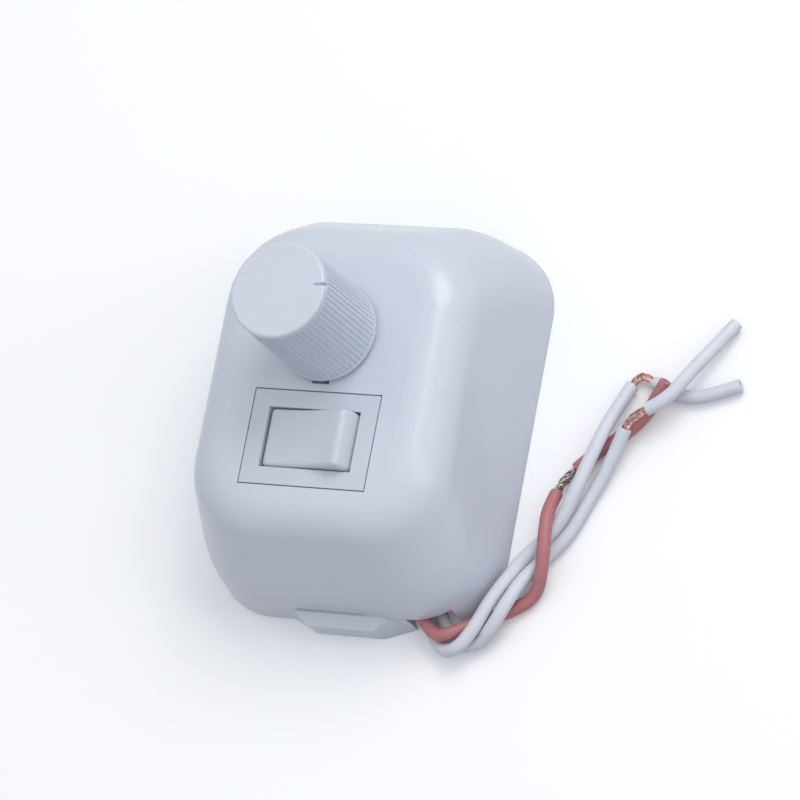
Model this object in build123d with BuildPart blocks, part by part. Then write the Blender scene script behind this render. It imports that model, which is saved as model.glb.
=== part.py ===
from build123d import *
import os
from math import atan, cos, pi, radians, sin, sqrt, tan

os.makedirs("parts", exist_ok=True)

# Surface-mounted rotary dimmer, lying on its back. The wall face is on z = 0 and the origin is its
# middle. +Z points out of the front, +Y towards the knob end, +X to the right seen from the front.
# All sizes are in millimetres.

# Housing shell
cover_width = 49.4
cover_length = 63.0
cover_depth = 26.0
wall = 2.0
side_slope = 0.167
rim_draft = 0.04
rim_height = 10.0
rim_blend = 4.0
low_end_slope = 0.51
top_end_slope = 0.45
back_corner = 11.5
front_corner = 13.2
front_round = 7.6
round_steps = 6

# Hood over the snap tongue, and its release slit
hood_height = 5.3
hood_proud = 2.0
hood_ledge = 0.7
hood_left_foot = 9.2
hood_left_head = 7.0
hood_left_face = 5.0
hood_right_foot = 12.0
hood_right_head = 8.2
hood_right_face = 6.5
hood_corner_round = 0.9
slit_width = 11.7
slit_x = -0.95
slit_height = 0.7

# Base plate
plate_thickness = 1.8
plate_clearance = 0.15
wall_screw_spacing = 40.0
wall_screw_hole = 3.8
tongue_width = 8.0
tongue_thickness = 1.2
tooth_depth = 0.8
hook_width = 5.0
hook_height = 1.2
hook_reach = 0.8
hook_offset = 9.0
snap_clearance = 0.1

# Lead notch in the lower right corner of the rim
notch_width = 7.4
notch_height = 4.9
notch_from_side = 9.1
notch_from_end = 0.6
notch_heading = -62.0
relief_width = 14.6
relief_length = 14.0

# Knob
knob_y = 7.3
knob_top_diameter = 15.3
knob_base_diameter = 16.0
knob_height = 19.4
knob_gap = 0.8
knob_round = 0.5
knob_band = 0.9
knob_foot = 0.9
knob_ribs = 60
rib_depth = 0.2
knob_skirt_bore = 12.6
knob_hub = 9.4
knob_cap = 1.8
knob_bore_spare = 0.3
knob_neck_clearance = 0.5
pointer_angle = 9.5
pointer_width = 0.5
pointer_length = 2.2
pointer_depth = 0.35
pointer_drop = 1.5

# Potentiometer
shaft_diameter = 6.0
shaft_clearance = 0.05
shaft_above_panel_face = 18.4
shaft_flat_depth = 1.5
shaft_flat_length = 11.0
clip_leaf = 0.4
clip_width = 4.4
neck_diameter = 7.0
neck_hole_clearance = 0.1
neck_length = 6.4
mounting_plate_diameter = 16.2
mounting_plate_thickness = 1.0
lug_radius = 7.55
lug_width = 2.7
lug_thickness = 1.0
lug_clearance = 0.1
lug_rise = 1.3
washer_diameter = 10.6
washer_thickness = 0.5
nut_across_flats = 10.0
nut_thickness = 2.0
shaft_clip_diameter = 9.0
shaft_clip_thickness = 0.5
shaft_groove_depth = 0.7
rotor_diameter = 13.0
rotor_thickness = 1.6
rotor_drive = 4.0
running_gap = 0.15
wiper_thickness = 0.3
wiper_finger = 1.0
wiper_room = 1.0
case_depth = 6.6
case_wall = 0.5
track_thickness = 1.2
terminal_pitch = 5.0
terminal_width = 2.0
terminal_thickness = 0.4
terminal_reach = 9.9
terminal_edge = 0.4

# Rocker switch
switch_y = -9.7
bezel_length = 21.0
bezel_width = 15.0
bezel_thickness = 1.2
pocket_gap = 0.2
pad_margin = 1.9
cutout_clearance = 0.2
switch_length = 18.8
switch_width = 12.8
switch_depth = 12.8
switch_floor = 1.2
opening_length = 15.4
opening_width = 9.6
rocker_width = 9.2
rocker_end_radius = 7.45
rocker_crest_x = 6.8
rocker_crest_height = 3.05
rocker_dish_height = 2.15
rocker_skirt = 1.9
rocker_shell = 1.3
rocker_tilt = 12.0
rocker_end_rise = 15.0
rocker_crest_round = 1.0
rocker_rim_round = 0.7
snap_wedge = 0.5
pivot_below_face = 1.5
trunnion_diameter = 1.6
trunnion_clearance = 0.05
trunnion_length = 1.0
stem_diameter = 4.2
stem_length = 6.4
plunger_diameter = 2.4
plunger_clearance = 0.05
plunger_length = 3.4
plunger_tip_gap = 0.1
spring_wire = 0.32
spring_turns = 6
bridge_length = 13.0
bridge_width = 4.4
bridge_thickness = 0.4
bridge_tilt = 8.0
bridge_pivot_above_floor = 2.4
fulcrum_gap = 0.2
contact_x = 5.8
contact_diameter = 2.0
contact_height = 0.4
blade_width = 4.8
blade_thickness = 0.8
blade_length = 7.0
blade_slot_clearance = 0.05

# Circuit board and what stands on it
board_side_clearance = 2.9
board_low_y = -2.2
board_end_clearance = 2.5
board_corner = 8.5
board_thickness = 1.6
board_drop = 15.0
boss_from_side = 2.6
boss_y = 0.6
boss_diameter = 5.0
boss_pilot = 2.3
board_screw_diameter = 2.2
board_screw_length = 6.0
board_screw_head = 4.2
board_screw_head_height = 1.5
leg_diameter = 0.7
leg_hole_clearance = 0.1
leg_tail = 1.2
seat_gap = 0.3
triac_y = 6.2
triac_width = 10.0
triac_length = 9.0
triac_height = 4.4
triac_tab_length = 6.4
triac_tab_thickness = 1.3
triac_leg_pitch = 2.54
triac_leg_width = 0.8
triac_leg_thickness = 0.5
triac_leg_run = 2.6
heat_sink_margin = 1.6
heat_sink_thickness = 1.0
heat_sink_length = 17.0
heat_sink_fin_length = 10.0
heat_sink_fin_height = 6.0
heat_sink_fin_gap = 0.2
heat_sink_clearance = 0.3
sink_screw_diameter = 3.0
sink_screw_clearance = 0.1
sink_screw_head = 5.5
sink_screw_head_height = 2.0
sink_nut_across_flats = 5.5
sink_nut_thickness = 2.4
filter_size = (5.0, 13.0, 11.0)
filter_from_side = 4.2
filter_y = 12.2
filter_pitch = 10.0
timing_size = (7.2, 3.4, 6.2)
timing_place = (7.0, 3.4)
timing_pitch = 5.0
resistor_diameter = 2.4
resistor_length = 6.3
resistor_pitch = 10.2
resistor_rows = (8.2, 12.4)
resistor_spacing = 1.4
diac_diameter = 1.9
diac_length = 4.0
diac_pitch = 7.6
diac_place = (-4.6, 2.6)
choke_x = 3.2
choke_clearance = 0.68
choke_core_diameter = 4.0
choke_core_length = 17.0
choke_winding_diameter = 6.6
choke_winding_length = 14.0
choke_bore_clearance = 0.05

# Leads
lead_diameter = 2.1
strand_diameter = 1.2
blade_joint_rise = 1.4

# Heights that several pieces share
panel_back_z = cover_depth - wall
pivot_z = cover_depth - pivot_below_face
switch_top_z = cover_depth - bezel_thickness
switch_back_z = switch_top_z - switch_depth
switch_floor_z = switch_back_z + switch_floor
board_face_z = panel_back_z - board_drop
board_back_z = board_face_z - board_thickness


def end_inset(height, slope):
    """How far an end wall has moved in at a height: a drafted rim, a soft bend, then a slope."""
    start = rim_height - rim_blend
    turn = slope - rim_draft
    bend = min(max(height - start, 0.0), 2 * rim_blend)
    beyond = max(height - start - 2 * rim_blend, 0.0)
    return rim_draft * height + turn * bend * bend / (4 * rim_blend) + turn * beyond


def side_inset(height, slope):
    """How far a side wall has moved in at a height."""
    return slope * height


def rounded_inset(line, slope, height, top, radius):
    """Inset of a wall that follows line and turns into the front through an arc tangent to both."""
    lean = atan(slope)
    reach = radius * tan((pi / 2 - lean) / 2)
    if height <= top - reach * cos(lean):
        return line(height, slope)
    drop = height - (top - radius)
    return line(top, slope) + reach - sqrt(max(radius**2 - drop**2, 0.0))


def housing_form(inset, top):
    """Solid with the housing's outline, moved in by inset on its sides and ending at top."""
    radius = front_round - inset
    bend_start = rim_height - rim_blend
    bend_end = rim_height + rim_blend
    levels = [0.0, bend_start / 2]
    levels += [bend_start + rim_blend * step / 2 for step in range(5)]
    levels.append((bend_end + top - radius) / 2)
    for step in range(round_steps + 1):
        levels.append(top - radius + radius * sin(radians(step * 90 / round_steps)))
    with BuildPart() as form:
        for level in levels:
            side = rounded_inset(side_inset, side_slope, level, top, radius)
            low = rounded_inset(end_inset, low_end_slope, level, top, radius)
            high = rounded_inset(end_inset, top_end_slope, level, top, radius)
            turned_in = side - side_inset(level, side_slope)
            corner = back_corner + (front_corner - back_corner) * level / cover_depth - inset - turned_in
            width = cover_width - 2 * (side + inset)
            length = cover_length - low - high - 2 * inset
            with BuildSketch(Plane.XY.offset(level)):
                with Locations((0, (low - high) / 2)):
                    RectangleRounded(width, length, corner)
        loft()
    return form.part


def rounded_tube(route, diameter):
    """Tube along straight runs and tangent arcs, each arc as large as its two runs allow."""
    path = route_path(route)
    with BuildPart() as tube:
        with BuildSketch(Plane(origin=path @ 0, z_dir=path % 0)):
            Circle(diameter / 2)
        sweep(path=path)
    return tube.part


def route_radii(route):
    """Arc radius at each inner point: 0.45 of the shorter run over the tangent of half the turn."""
    radii = []
    for before, here, after in zip(route, route[1:], route[2:]):
        first = Vector(*here) - Vector(*before)
        second = Vector(*after) - Vector(*here)
        half_turn = radians(first.get_angle(second)) / 2
        radii.append(0.45 * min(first.length, second.length) / tan(half_turn))
    return radii


def route_path(route):
    """Wire of a route: one straight line, or runs joined by tangent arcs."""
    with BuildLine() as line:
        if len(route) == 2:
            Line(route[0], route[1])
        else:
            FilletPolyline(*route, radius=route_radii(route))
    return line.wire()


def beyond(route, distance):
    """Point past the end of a route, in line with its last run."""
    last = Vector(*route[-1])
    run = last - Vector(*route[-2])
    return tuple(last + run.normalized() * distance)


# Where the notch and the board lie in the cover
notch_middle = (cover_width / 2 - notch_from_side, notch_from_end - cover_length / 2)
board_width = cover_width - 2 * (wall + board_side_clearance)
board_high_y = cover_length / 2 - wall - board_end_clearance
boss_x = board_width / 2 - boss_from_side

# Front cover: moulded shell, screw bosses, switch pad, hood, and every cut through it
outer_form = housing_form(0, cover_depth)
hollow_form = housing_form(wall, panel_back_z)
boss_limit_form = housing_form(wall / 2, cover_depth - wall / 2)

with BuildPart() as bosses:
    with BuildSketch(Plane.XY.offset(board_face_z)):
        with Locations((-boss_x, boss_y), (boss_x, boss_y)):
            Circle(boss_diameter / 2)
    extrude(amount=cover_depth - board_face_z)
    add(boss_limit_form, mode=Mode.INTERSECT)

pocket_length = bezel_length + 2 * pocket_gap
pocket_width = bezel_width + 2 * pocket_gap
pad_back_z = switch_top_z - wall
pad_low = switch_y - pocket_width / 2 - pad_margin
pad_high = switch_y + pocket_width / 2 + plate_clearance
hood_root_y = -cover_length / 2
notch_normal = (cos(radians(notch_heading)), sin(radians(notch_heading)), 0)

# Hood: a wedge whose flanks lean in towards its ledge
hood_levels = ((0, hood_left_foot, hood_right_foot), (hood_height, hood_left_head, hood_right_head))
with BuildPart() as hood:
    for level, left, right in hood_levels:
        with BuildSketch(Plane.XY.offset(level)):
            with BuildLine():
                Polyline(
                    (-left, hood_root_y + wall / 2),
                    (-left, hood_root_y),
                    (-hood_left_face, hood_root_y - hood_proud),
                    (hood_right_face, hood_root_y - hood_proud),
                    (right, hood_root_y),
                    (right, hood_root_y + wall / 2),
                    close=True,
                )
            make_face()
    loft(ruled=True)
    hood_corners = hood.faces().sort_by(Axis.Y)[0].edges().filter_by(Axis.X, reverse=True)
    fillet(hood_corners, hood_corner_round)
    with BuildSketch(Plane.YZ):
        with BuildLine():
            Polyline(
                (hood_root_y - hood_proud, hood_height - hood_ledge),
                (hood_root_y, hood_height),
                (hood_root_y - hood_proud, hood_height),
                close=True,
            )
        make_face()
    extrude(amount=hood_right_foot, both=True, mode=Mode.SUBTRACT)

with BuildPart() as front_cover:
    add(outer_form)
    add(hood.part)
    add(hollow_form, mode=Mode.SUBTRACT)
    add(bosses.part)
    with BuildSketch(Plane.XY.offset(pad_back_z)):
        with Locations((0, (pad_low + pad_high) / 2)):
            Rectangle(pocket_length + 2 * pad_margin, pad_high - pad_low)
    extrude(amount=cover_depth - wall / 2 - pad_back_z)
    # pocket for the bezel and the cut-out for the switch body
    with BuildSketch(Plane.XY.offset(cover_depth)):
        with Locations((0, switch_y)):
            Rectangle(pocket_length, pocket_width)
    extrude(amount=-bezel_thickness, mode=Mode.SUBTRACT)
    with BuildSketch(Plane.XY.offset(cover_depth)):
        with Locations((0, switch_y)):
            Rectangle(switch_length + 2 * cutout_clearance, switch_width + 2 * cutout_clearance)
    extrude(amount=-cover_depth / 4, mode=Mode.SUBTRACT)
    # hole for the threaded neck and slot for the lug
    with BuildSketch(Plane.XY.offset(cover_depth)):
        with Locations((0, knob_y)):
            Circle(neck_diameter / 2 + neck_hole_clearance)
        with Locations((0, knob_y - lug_radius)):
            Rectangle(lug_width + 2 * lug_clearance, lug_thickness + 2 * lug_clearance)
    extrude(amount=-2 * wall, mode=Mode.SUBTRACT)
    # pilot holes in the bosses
    with BuildSketch(Plane.XY.offset(board_face_z)):
        with Locations((-boss_x, boss_y), (boss_x, boss_y)):
            Circle(boss_pilot / 2)
    extrude(amount=board_screw_length, mode=Mode.SUBTRACT)
    # release slit above the hood's ledge, and the tooth's window behind the hood
    with BuildSketch(Plane.XY.offset(hood_height)):
        with Locations((slit_x, hood_root_y + wall / 2)):
            Rectangle(slit_width, 2 * wall)
    extrude(amount=slit_height, mode=Mode.SUBTRACT)
    window_y = hood_root_y + wall
    with BuildSketch(Plane.XY.offset(hood_height - 3 * tooth_depth)):
        with Locations((0, window_y)):
            Rectangle(tongue_width + 2 * snap_clearance, 2 * (tooth_depth + snap_clearance))
    extrude(amount=3 * tooth_depth, mode=Mode.SUBTRACT)
    # pockets for the two top hooks
    with BuildSketch(Plane.XY.offset(plate_thickness)):
        with Locations((-hook_offset, cover_length / 2 - wall), (hook_offset, cover_length / 2 - wall)):
            Rectangle(hook_width + 2 * snap_clearance, 2 * (hook_reach + snap_clearance + plate_clearance))
    extrude(amount=hook_height + 2 * snap_clearance, mode=Mode.SUBTRACT)
    # notch for the leads
    with BuildSketch(Plane(origin=(*notch_middle, 0), x_dir=notch_normal, z_dir=(0, 0, 1))):
        Rectangle(4 * wall, notch_width)
    extrude(amount=notch_height, mode=Mode.SUBTRACT)
front_cover.part.label = "front_cover"
export_step(front_cover.part, "parts/front_cover.step")

# Base plate: flat plate with two wall screw holes, two hooks, a snap tongue and a relief for the leads
plate_width = cover_width - 2 * (wall + side_inset(plate_thickness, side_slope) + plate_clearance)
plate_length = cover_length - 2 * (wall + end_inset(plate_thickness, low_end_slope) + plate_clearance)
tongue_y = -cover_length / 2 + wall + end_inset(hood_height, low_end_slope) + snap_clearance
tooth_low_z = hood_height - 3 * tooth_depth + snap_clearance
with BuildPart() as base_plate:
    with BuildSketch(Plane.XY):
        RectangleRounded(plate_width, plate_length, back_corner - wall - plate_clearance)
    extrude(amount=plate_thickness)
    with BuildSketch(Plane.XY):
        with Locations((0, -wall_screw_spacing / 2), (0, wall_screw_spacing / 2)):
            Circle(wall_screw_hole / 2)
        with Locations((plate_width / 2, -plate_length / 2)):
            Rectangle(2 * relief_width, 2 * relief_length)
    extrude(amount=plate_thickness, mode=Mode.SUBTRACT)
    # hooks on short risers at the top edge
    with BuildSketch(Plane.XY.offset(plate_thickness)):
        with Locations((-hook_offset, plate_length / 2), (hook_offset, plate_length / 2)):
            Rectangle(hook_width, 2 * hook_reach)
    extrude(amount=hook_height)
    # snap tongue and its tooth
    with BuildSketch(Plane.XY.offset(plate_thickness)):
        with Locations((0, tongue_y + tongue_thickness / 2)):
            Rectangle(tongue_width, tongue_thickness)
    extrude(amount=hood_height - plate_thickness)
    with BuildSketch(Plane.YZ.offset(-tongue_width / 2)):
        with BuildLine():
            Polyline(
                (tongue_y, tooth_low_z),
                (tongue_y - tooth_depth, tooth_low_z),
                (tongue_y, tooth_low_z + 2 * tooth_depth),
                close=True,
            )
        make_face()
    extrude(amount=tongue_width)
base_plate.part.label = "base_plate"
export_step(base_plate.part, "parts/base_plate.step")

# Board screws: two self-tapping screws from behind the board into the bosses
with BuildPart() as board_screws:
    with BuildSketch(Plane.XY.offset(board_back_z)):
        with Locations((-boss_x, boss_y), (boss_x, boss_y)):
            Circle(board_screw_head / 2)
    extrude(amount=-board_screw_head_height)
    with BuildSketch(Plane.XY.offset(board_back_z)):
        with Locations((-boss_x, boss_y), (boss_x, boss_y)):
            Circle(board_screw_diameter / 2)
    extrude(amount=board_screw_length)
    chamfer(board_screws.edges().group_by(Axis.Z)[-1], board_screw_diameter / 5)
board_screws.part.label = "board_screws"
export_step(board_screws.part, "parts/board_screws.step")

# Knob: rounded rim, plain band, ribbed grip, plain foot, and a hollow skirt round the nut
knob_base_z = cover_depth + knob_gap
knob_top_z = knob_base_z + knob_height
knob_taper = (knob_base_diameter - knob_top_diameter) / 2 / knob_height
shaft_top_z = cover_depth + shaft_above_panel_face
knob_bore_top_z = shaft_top_z + knob_bore_spare
knob_neck_z = panel_back_z + neck_length + knob_neck_clearance
grip_low_z = knob_base_z + knob_foot
grip_high_z = knob_top_z - knob_round - knob_band
shaft_hole = shaft_diameter / 2 + shaft_clearance
flat_x = shaft_diameter / 2 - shaft_flat_depth
pointer_direction = (cos(radians(pointer_angle)), sin(radians(pointer_angle)), 0)


def knob_plane(height):
    """Horizontal plane on the knob's axis, with X along the pointer."""
    return Plane(origin=(0, knob_y, height), x_dir=pointer_direction, z_dir=(0, 0, 1))


def knob_radius(height):
    """Outer radius of the knob's plain surface at a height."""
    return knob_base_diameter / 2 - knob_taper * (height - knob_base_z)


def rib_outline(height):
    """Closed outline of the ribs at a height: four corners for each rib, half rib and half gap."""
    corners = []
    crest = knob_radius(height)
    for rib in range(knob_ribs):
        valley = crest - rib_depth
        for share, radius in ((0.0, crest), (0.4, crest), (0.55, valley), (0.85, valley)):
            turn = 2 * pi * (rib + share) / knob_ribs
            corners.append((radius * cos(turn), radius * sin(turn)))
    return corners


with BuildPart() as knob:
    for low_z, high_z in ((knob_base_z, grip_low_z), (grip_high_z, knob_top_z)):
        with BuildSketch(knob_plane(low_z)):
            Circle(knob_radius(low_z))
        with BuildSketch(knob_plane(high_z)):
            Circle(knob_radius(high_z))
        loft()
    fillet(knob.edges().group_by(Axis.Z)[-1], knob_round)
    for height in (grip_low_z, grip_high_z):
        with BuildSketch(knob_plane(height)):
            with BuildLine():
                Polyline(*rib_outline(height), close=True)
            make_face()
    loft(ruled=True)
    # skirt round the nut, and the hollow between the hub and the wall
    with BuildSketch(knob_plane(knob_base_z)):
        Circle(knob_skirt_bore / 2)
    extrude(amount=knob_neck_z - knob_base_z, mode=Mode.SUBTRACT)
    with BuildSketch(knob_plane(knob_neck_z)):
        Circle(knob_skirt_bore / 2)
        Circle(knob_hub / 2, mode=Mode.SUBTRACT)
    extrude(amount=knob_top_z - knob_cap - knob_neck_z, mode=Mode.SUBTRACT)
    # bore with a flat that backs the spring clip
    flat_low_z = shaft_top_z - shaft_flat_length
    with BuildSketch(knob_plane(knob_neck_z)):
        Circle(shaft_hole)
    extrude(amount=flat_low_z - knob_neck_z, mode=Mode.SUBTRACT)
    with BuildSketch(knob_plane(flat_low_z)):
        Circle(shaft_hole)
        with Locations((flat_x + clip_leaf + shaft_clearance + shaft_diameter / 2, 0)):
            Rectangle(shaft_diameter, shaft_diameter, mode=Mode.SUBTRACT)
    extrude(amount=knob_bore_top_z - flat_low_z, mode=Mode.SUBTRACT)
    # pointer groove over the rim
    pointer_end = knob_top_diameter / 2 + rib_depth
    pointer_start = pointer_end - pointer_length
    pointer_side = (pointer_direction[1], -pointer_direction[0], 0)
    pointer_face = Plane(origin=(0, knob_y, 0), x_dir=pointer_direction, z_dir=pointer_side)
    with BuildSketch(pointer_face):
        with BuildLine():
            Polyline(
                (pointer_start, knob_top_z + pointer_depth),
                (pointer_start, knob_top_z),
                (pointer_start + pointer_depth, knob_top_z - pointer_depth),
                (pointer_end - 3 * pointer_depth, knob_top_z - pointer_depth),
                (pointer_end - pointer_depth - rib_depth, knob_top_z - 3 * pointer_depth),
                (pointer_end, knob_top_z - pointer_drop),
                (pointer_end, knob_top_z + pointer_depth),
                close=True,
            )
        make_face()
    extrude(amount=pointer_width / 2, both=True, mode=Mode.SUBTRACT)
knob.part.label = "knob"
export_step(knob.part, "parts/knob.step")

# Spring clip: steel leaf between the shaft's flat and the knob's bore
with BuildPart() as knob_spring_clip:
    clip_inner = flat_x + shaft_clearance / 2
    with BuildSketch(knob_plane(flat_low_z + knob_bore_spare)):
        with Locations((clip_inner + clip_leaf / 2, 0)):
            Rectangle(clip_leaf, clip_width)
    extrude(amount=shaft_flat_length - 2 * knob_bore_spare)
knob_spring_clip.part.label = "knob_spring_clip"
export_step(knob_spring_clip.part, "parts/knob_spring_clip.step")

# Potentiometer bushing: threaded neck on a mounting plate with a turned-up lug
plate_back_z = panel_back_z - mounting_plate_thickness
with BuildPart() as pot_bushing:
    with BuildSketch(knob_plane(plate_back_z)):
        Circle(mounting_plate_diameter / 2)
    extrude(amount=mounting_plate_thickness)
    with BuildSketch(knob_plane(panel_back_z)):
        Circle(neck_diameter / 2)
    extrude(amount=neck_length)
    chamfer(pot_bushing.edges().group_by(Axis.Z)[-1], wall / 5)
    with BuildSketch(Plane.XY.offset(plate_back_z)):
        with Locations((0, knob_y - (lug_radius + lug_thickness / 2) / 2)):
            Rectangle(lug_width, lug_radius + lug_thickness / 2)
    extrude(amount=mounting_plate_thickness)
    with BuildSketch(Plane.XY.offset(panel_back_z)):
        with Locations((0, knob_y - lug_radius)):
            Rectangle(lug_width, lug_thickness)
    extrude(amount=lug_rise)
    with BuildSketch(knob_plane(plate_back_z)):
        Circle(shaft_hole)
    extrude(amount=mounting_plate_thickness + neck_length, mode=Mode.SUBTRACT)
pot_bushing.part.label = "pot_bushing"
export_step(pot_bushing.part, "parts/pot_bushing.step")

# Washer and nut that clamp the cover to the potentiometer
with BuildPart() as pot_washer:
    with BuildSketch(knob_plane(cover_depth)):
        Circle(washer_diameter / 2)
        Circle(neck_diameter / 2 + neck_hole_clearance, mode=Mode.SUBTRACT)
    extrude(amount=washer_thickness)
pot_washer.part.label = "pot_washer"
export_step(pot_washer.part, "parts/pot_washer.step")

with BuildPart() as pot_nut:
    with BuildSketch(knob_plane(cover_depth + washer_thickness)):
        RegularPolygon(nut_across_flats / 2, 6, major_radius=False)
        Circle(neck_diameter / 2 + shaft_clearance / 2, mode=Mode.SUBTRACT)
    extrude(amount=nut_thickness)
pot_nut.part.label = "pot_nut"
export_step(pot_nut.part, "parts/pot_nut.step")

# Shaft: flat for the knob, groove for its clip, square foot for the rotor
clip_top_z = plate_back_z - running_gap
clip_low_z = clip_top_z - shaft_clip_thickness
rotor_top_z = clip_low_z - running_gap
rotor_low_z = rotor_top_z - rotor_thickness
with BuildPart() as pot_shaft:
    with BuildSketch(knob_plane(rotor_top_z)):
        Circle(shaft_diameter / 2)
    extrude(amount=shaft_top_z - rotor_top_z)
    chamfer(pot_shaft.edges().group_by(Axis.Z)[-1], wall / 5)
    with BuildSketch(knob_plane(flat_low_z)):
        with Locations((flat_x + shaft_diameter / 2, 0)):
            Rectangle(shaft_diameter, 2 * shaft_diameter)
    extrude(amount=shaft_flat_length, mode=Mode.SUBTRACT)
    with BuildSketch(knob_plane(clip_low_z)):
        Circle(shaft_diameter)
        Circle(shaft_diameter / 2 - shaft_groove_depth, mode=Mode.SUBTRACT)
    extrude(amount=shaft_clip_thickness, mode=Mode.SUBTRACT)
    with BuildSketch(knob_plane(rotor_low_z)):
        Rectangle(rotor_drive, rotor_drive)
    extrude(amount=rotor_thickness)
pot_shaft.part.label = "pot_shaft"
export_step(pot_shaft.part, "parts/pot_shaft.step")

with BuildPart() as pot_shaft_clip:
    groove_radius = shaft_diameter / 2 - shaft_groove_depth
    with BuildSketch(knob_plane(clip_low_z)):
        Circle(shaft_clip_diameter / 2)
        Circle(groove_radius, mode=Mode.SUBTRACT)
        with Locations((-shaft_clip_diameter / 2, 0)):
            Rectangle(shaft_clip_diameter, 2 * groove_radius, mode=Mode.SUBTRACT)
    extrude(amount=shaft_clip_thickness)
pot_shaft_clip.part.label = "pot_shaft_clip"
export_step(pot_shaft_clip.part, "parts/pot_shaft_clip.step")

# Rotor: moulded disc driven by the shaft's square foot
with BuildPart() as pot_rotor:
    with BuildSketch(knob_plane(rotor_low_z)):
        Circle(rotor_diameter / 2)
        Rectangle(rotor_drive + shaft_clearance, rotor_drive + shaft_clearance, mode=Mode.SUBTRACT)
    extrude(amount=rotor_thickness)
pot_rotor.part.label = "pot_rotor"
export_step(pot_rotor.part, "parts/pot_rotor.step")

# Wiper: bronze ring under the rotor with two contact fingers
track_top_z = rotor_low_z - wiper_room
with BuildPart() as pot_wiper:
    with BuildSketch(knob_plane(rotor_low_z)):
        Circle(rotor_diameter / 2 - wall / 4)
        Circle(rotor_drive, mode=Mode.SUBTRACT)
    extrude(amount=-wiper_thickness)
    with BuildSketch(knob_plane(rotor_low_z - wiper_thickness)):
        with Locations((rotor_drive + wiper_finger, 0), (-rotor_drive - wiper_finger, 0)):
            Rectangle(wiper_finger, 2 * wiper_finger)
    extrude(amount=-(wiper_room - wiper_thickness - fulcrum_gap))
pot_wiper.part.label = "pot_wiper"
export_step(pot_wiper.part, "parts/pot_wiper.step")

# Track wafer: phenolic disc with an ear that carries the three terminals
case_radius = mounting_plate_diameter / 2
wafer_radius = case_radius - case_wall - shaft_clearance
ear_width = 2 * (terminal_pitch + terminal_edge) + terminal_width
with BuildPart() as pot_track:
    with BuildSketch(Plane.XY.offset(track_top_z - track_thickness)):
        with Locations((0, knob_y)):
            Circle(wafer_radius)
        with Locations((0, knob_y + terminal_reach / 2 - wall / 4)):
            Rectangle(ear_width, terminal_reach - wall / 2)
    extrude(amount=track_thickness)
pot_track.part.label = "pot_track"
export_step(pot_track.part, "parts/pot_track.step")

# Terminals: flat strips under the ear, turned down into the board
with BuildPart() as pot_terminals:
    strip_z = track_top_z - track_thickness
    strip_start = knob_y + wafer_radius - wall
    strip_end = knob_y + terminal_reach
    for column in (-1, 0, 1):
        with BuildSketch(Plane.XY.offset(strip_z)):
            with Locations((column * terminal_pitch, (strip_start + strip_end) / 2)):
                Rectangle(terminal_width, strip_end - strip_start)
        extrude(amount=-terminal_thickness)
        with BuildSketch(Plane.XY.offset(strip_z)):
            with Locations((column * terminal_pitch, strip_end - terminal_thickness / 2)):
                Rectangle(terminal_width, terminal_thickness)
        extrude(amount=-(strip_z - board_back_z + leg_tail))
pot_terminals.part.label = "pot_terminals"
export_step(pot_terminals.part, "parts/pot_terminals.step")

# Case: steel can from the mounting plate to behind the wafer, open where the ear comes out
case_low_z = plate_back_z - case_depth
with BuildPart() as pot_case:
    with BuildSketch(knob_plane(case_low_z)):
        Circle(case_radius)
    extrude(amount=case_depth)
    with BuildSketch(knob_plane(case_low_z + case_wall)):
        Circle(case_radius - case_wall)
    extrude(amount=case_depth - case_wall, mode=Mode.SUBTRACT)
    with BuildSketch(Plane.XY.offset(case_low_z + case_wall)):
        with Locations((0, knob_y + case_radius)):
            Rectangle(ear_width + 2 * shaft_clearance, 2 * case_radius)
    extrude(amount=track_top_z + shaft_clearance - case_low_z - case_wall, mode=Mode.SUBTRACT)
pot_case.part.label = "pot_case"
export_step(pot_case.part, "parts/pot_case.step")

# Switch body: bezel and box in one moulding, open at the front for the rocker
switch_plane = Plane(origin=(0, switch_y, 0), x_dir=(1, 0, 0), z_dir=(0, 0, 1))
pivot_face = Plane(origin=(0, switch_y, pivot_z), x_dir=(1, 0, 0), z_dir=(0, -1, 0))
with BuildPart() as switch_body:
    with BuildSketch(switch_plane.offset(switch_top_z)):
        Rectangle(bezel_length, bezel_width)
    extrude(amount=bezel_thickness)
    with BuildSketch(switch_plane.offset(switch_back_z)):
        Rectangle(switch_length, switch_width)
    extrude(amount=switch_depth)
    with BuildSketch(switch_plane.offset(switch_floor_z)):
        Rectangle(opening_length, opening_width)
    extrude(amount=cover_depth - switch_floor_z, mode=Mode.SUBTRACT)
    with BuildSketch(pivot_face):
        Circle(trunnion_diameter / 2 + trunnion_clearance)
    extrude(amount=rocker_width / 2 + trunnion_length + trunnion_clearance, both=True, mode=Mode.SUBTRACT)
    # snap wedges under the pad
    for side in (-1, 1):
        with BuildSketch(Plane(origin=(0, switch_y - blade_width / 2, 0), x_dir=(1, 0, 0), z_dir=(0, -1, 0))):
            with BuildLine():
                Polyline(
                    (side * switch_length / 2, pad_back_z - snap_clearance),
                    (side * (switch_length / 2 + snap_wedge), pad_back_z - snap_clearance),
                    (side * switch_length / 2, pad_back_z - 5 * snap_wedge),
                    close=True,
                )
            make_face()
        extrude(amount=-blade_width)
    # slots for the two blades
    with BuildSketch(switch_plane.offset(switch_back_z)):
        with Locations((0, 0), (-contact_x, 0)):
            Rectangle(blade_thickness + 2 * blade_slot_clearance, blade_width + 2 * blade_slot_clearance)
    extrude(amount=switch_floor, mode=Mode.SUBTRACT)
switch_body.part.label = "switch_body"
export_step(switch_body.part, "parts/switch_body.step")

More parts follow.
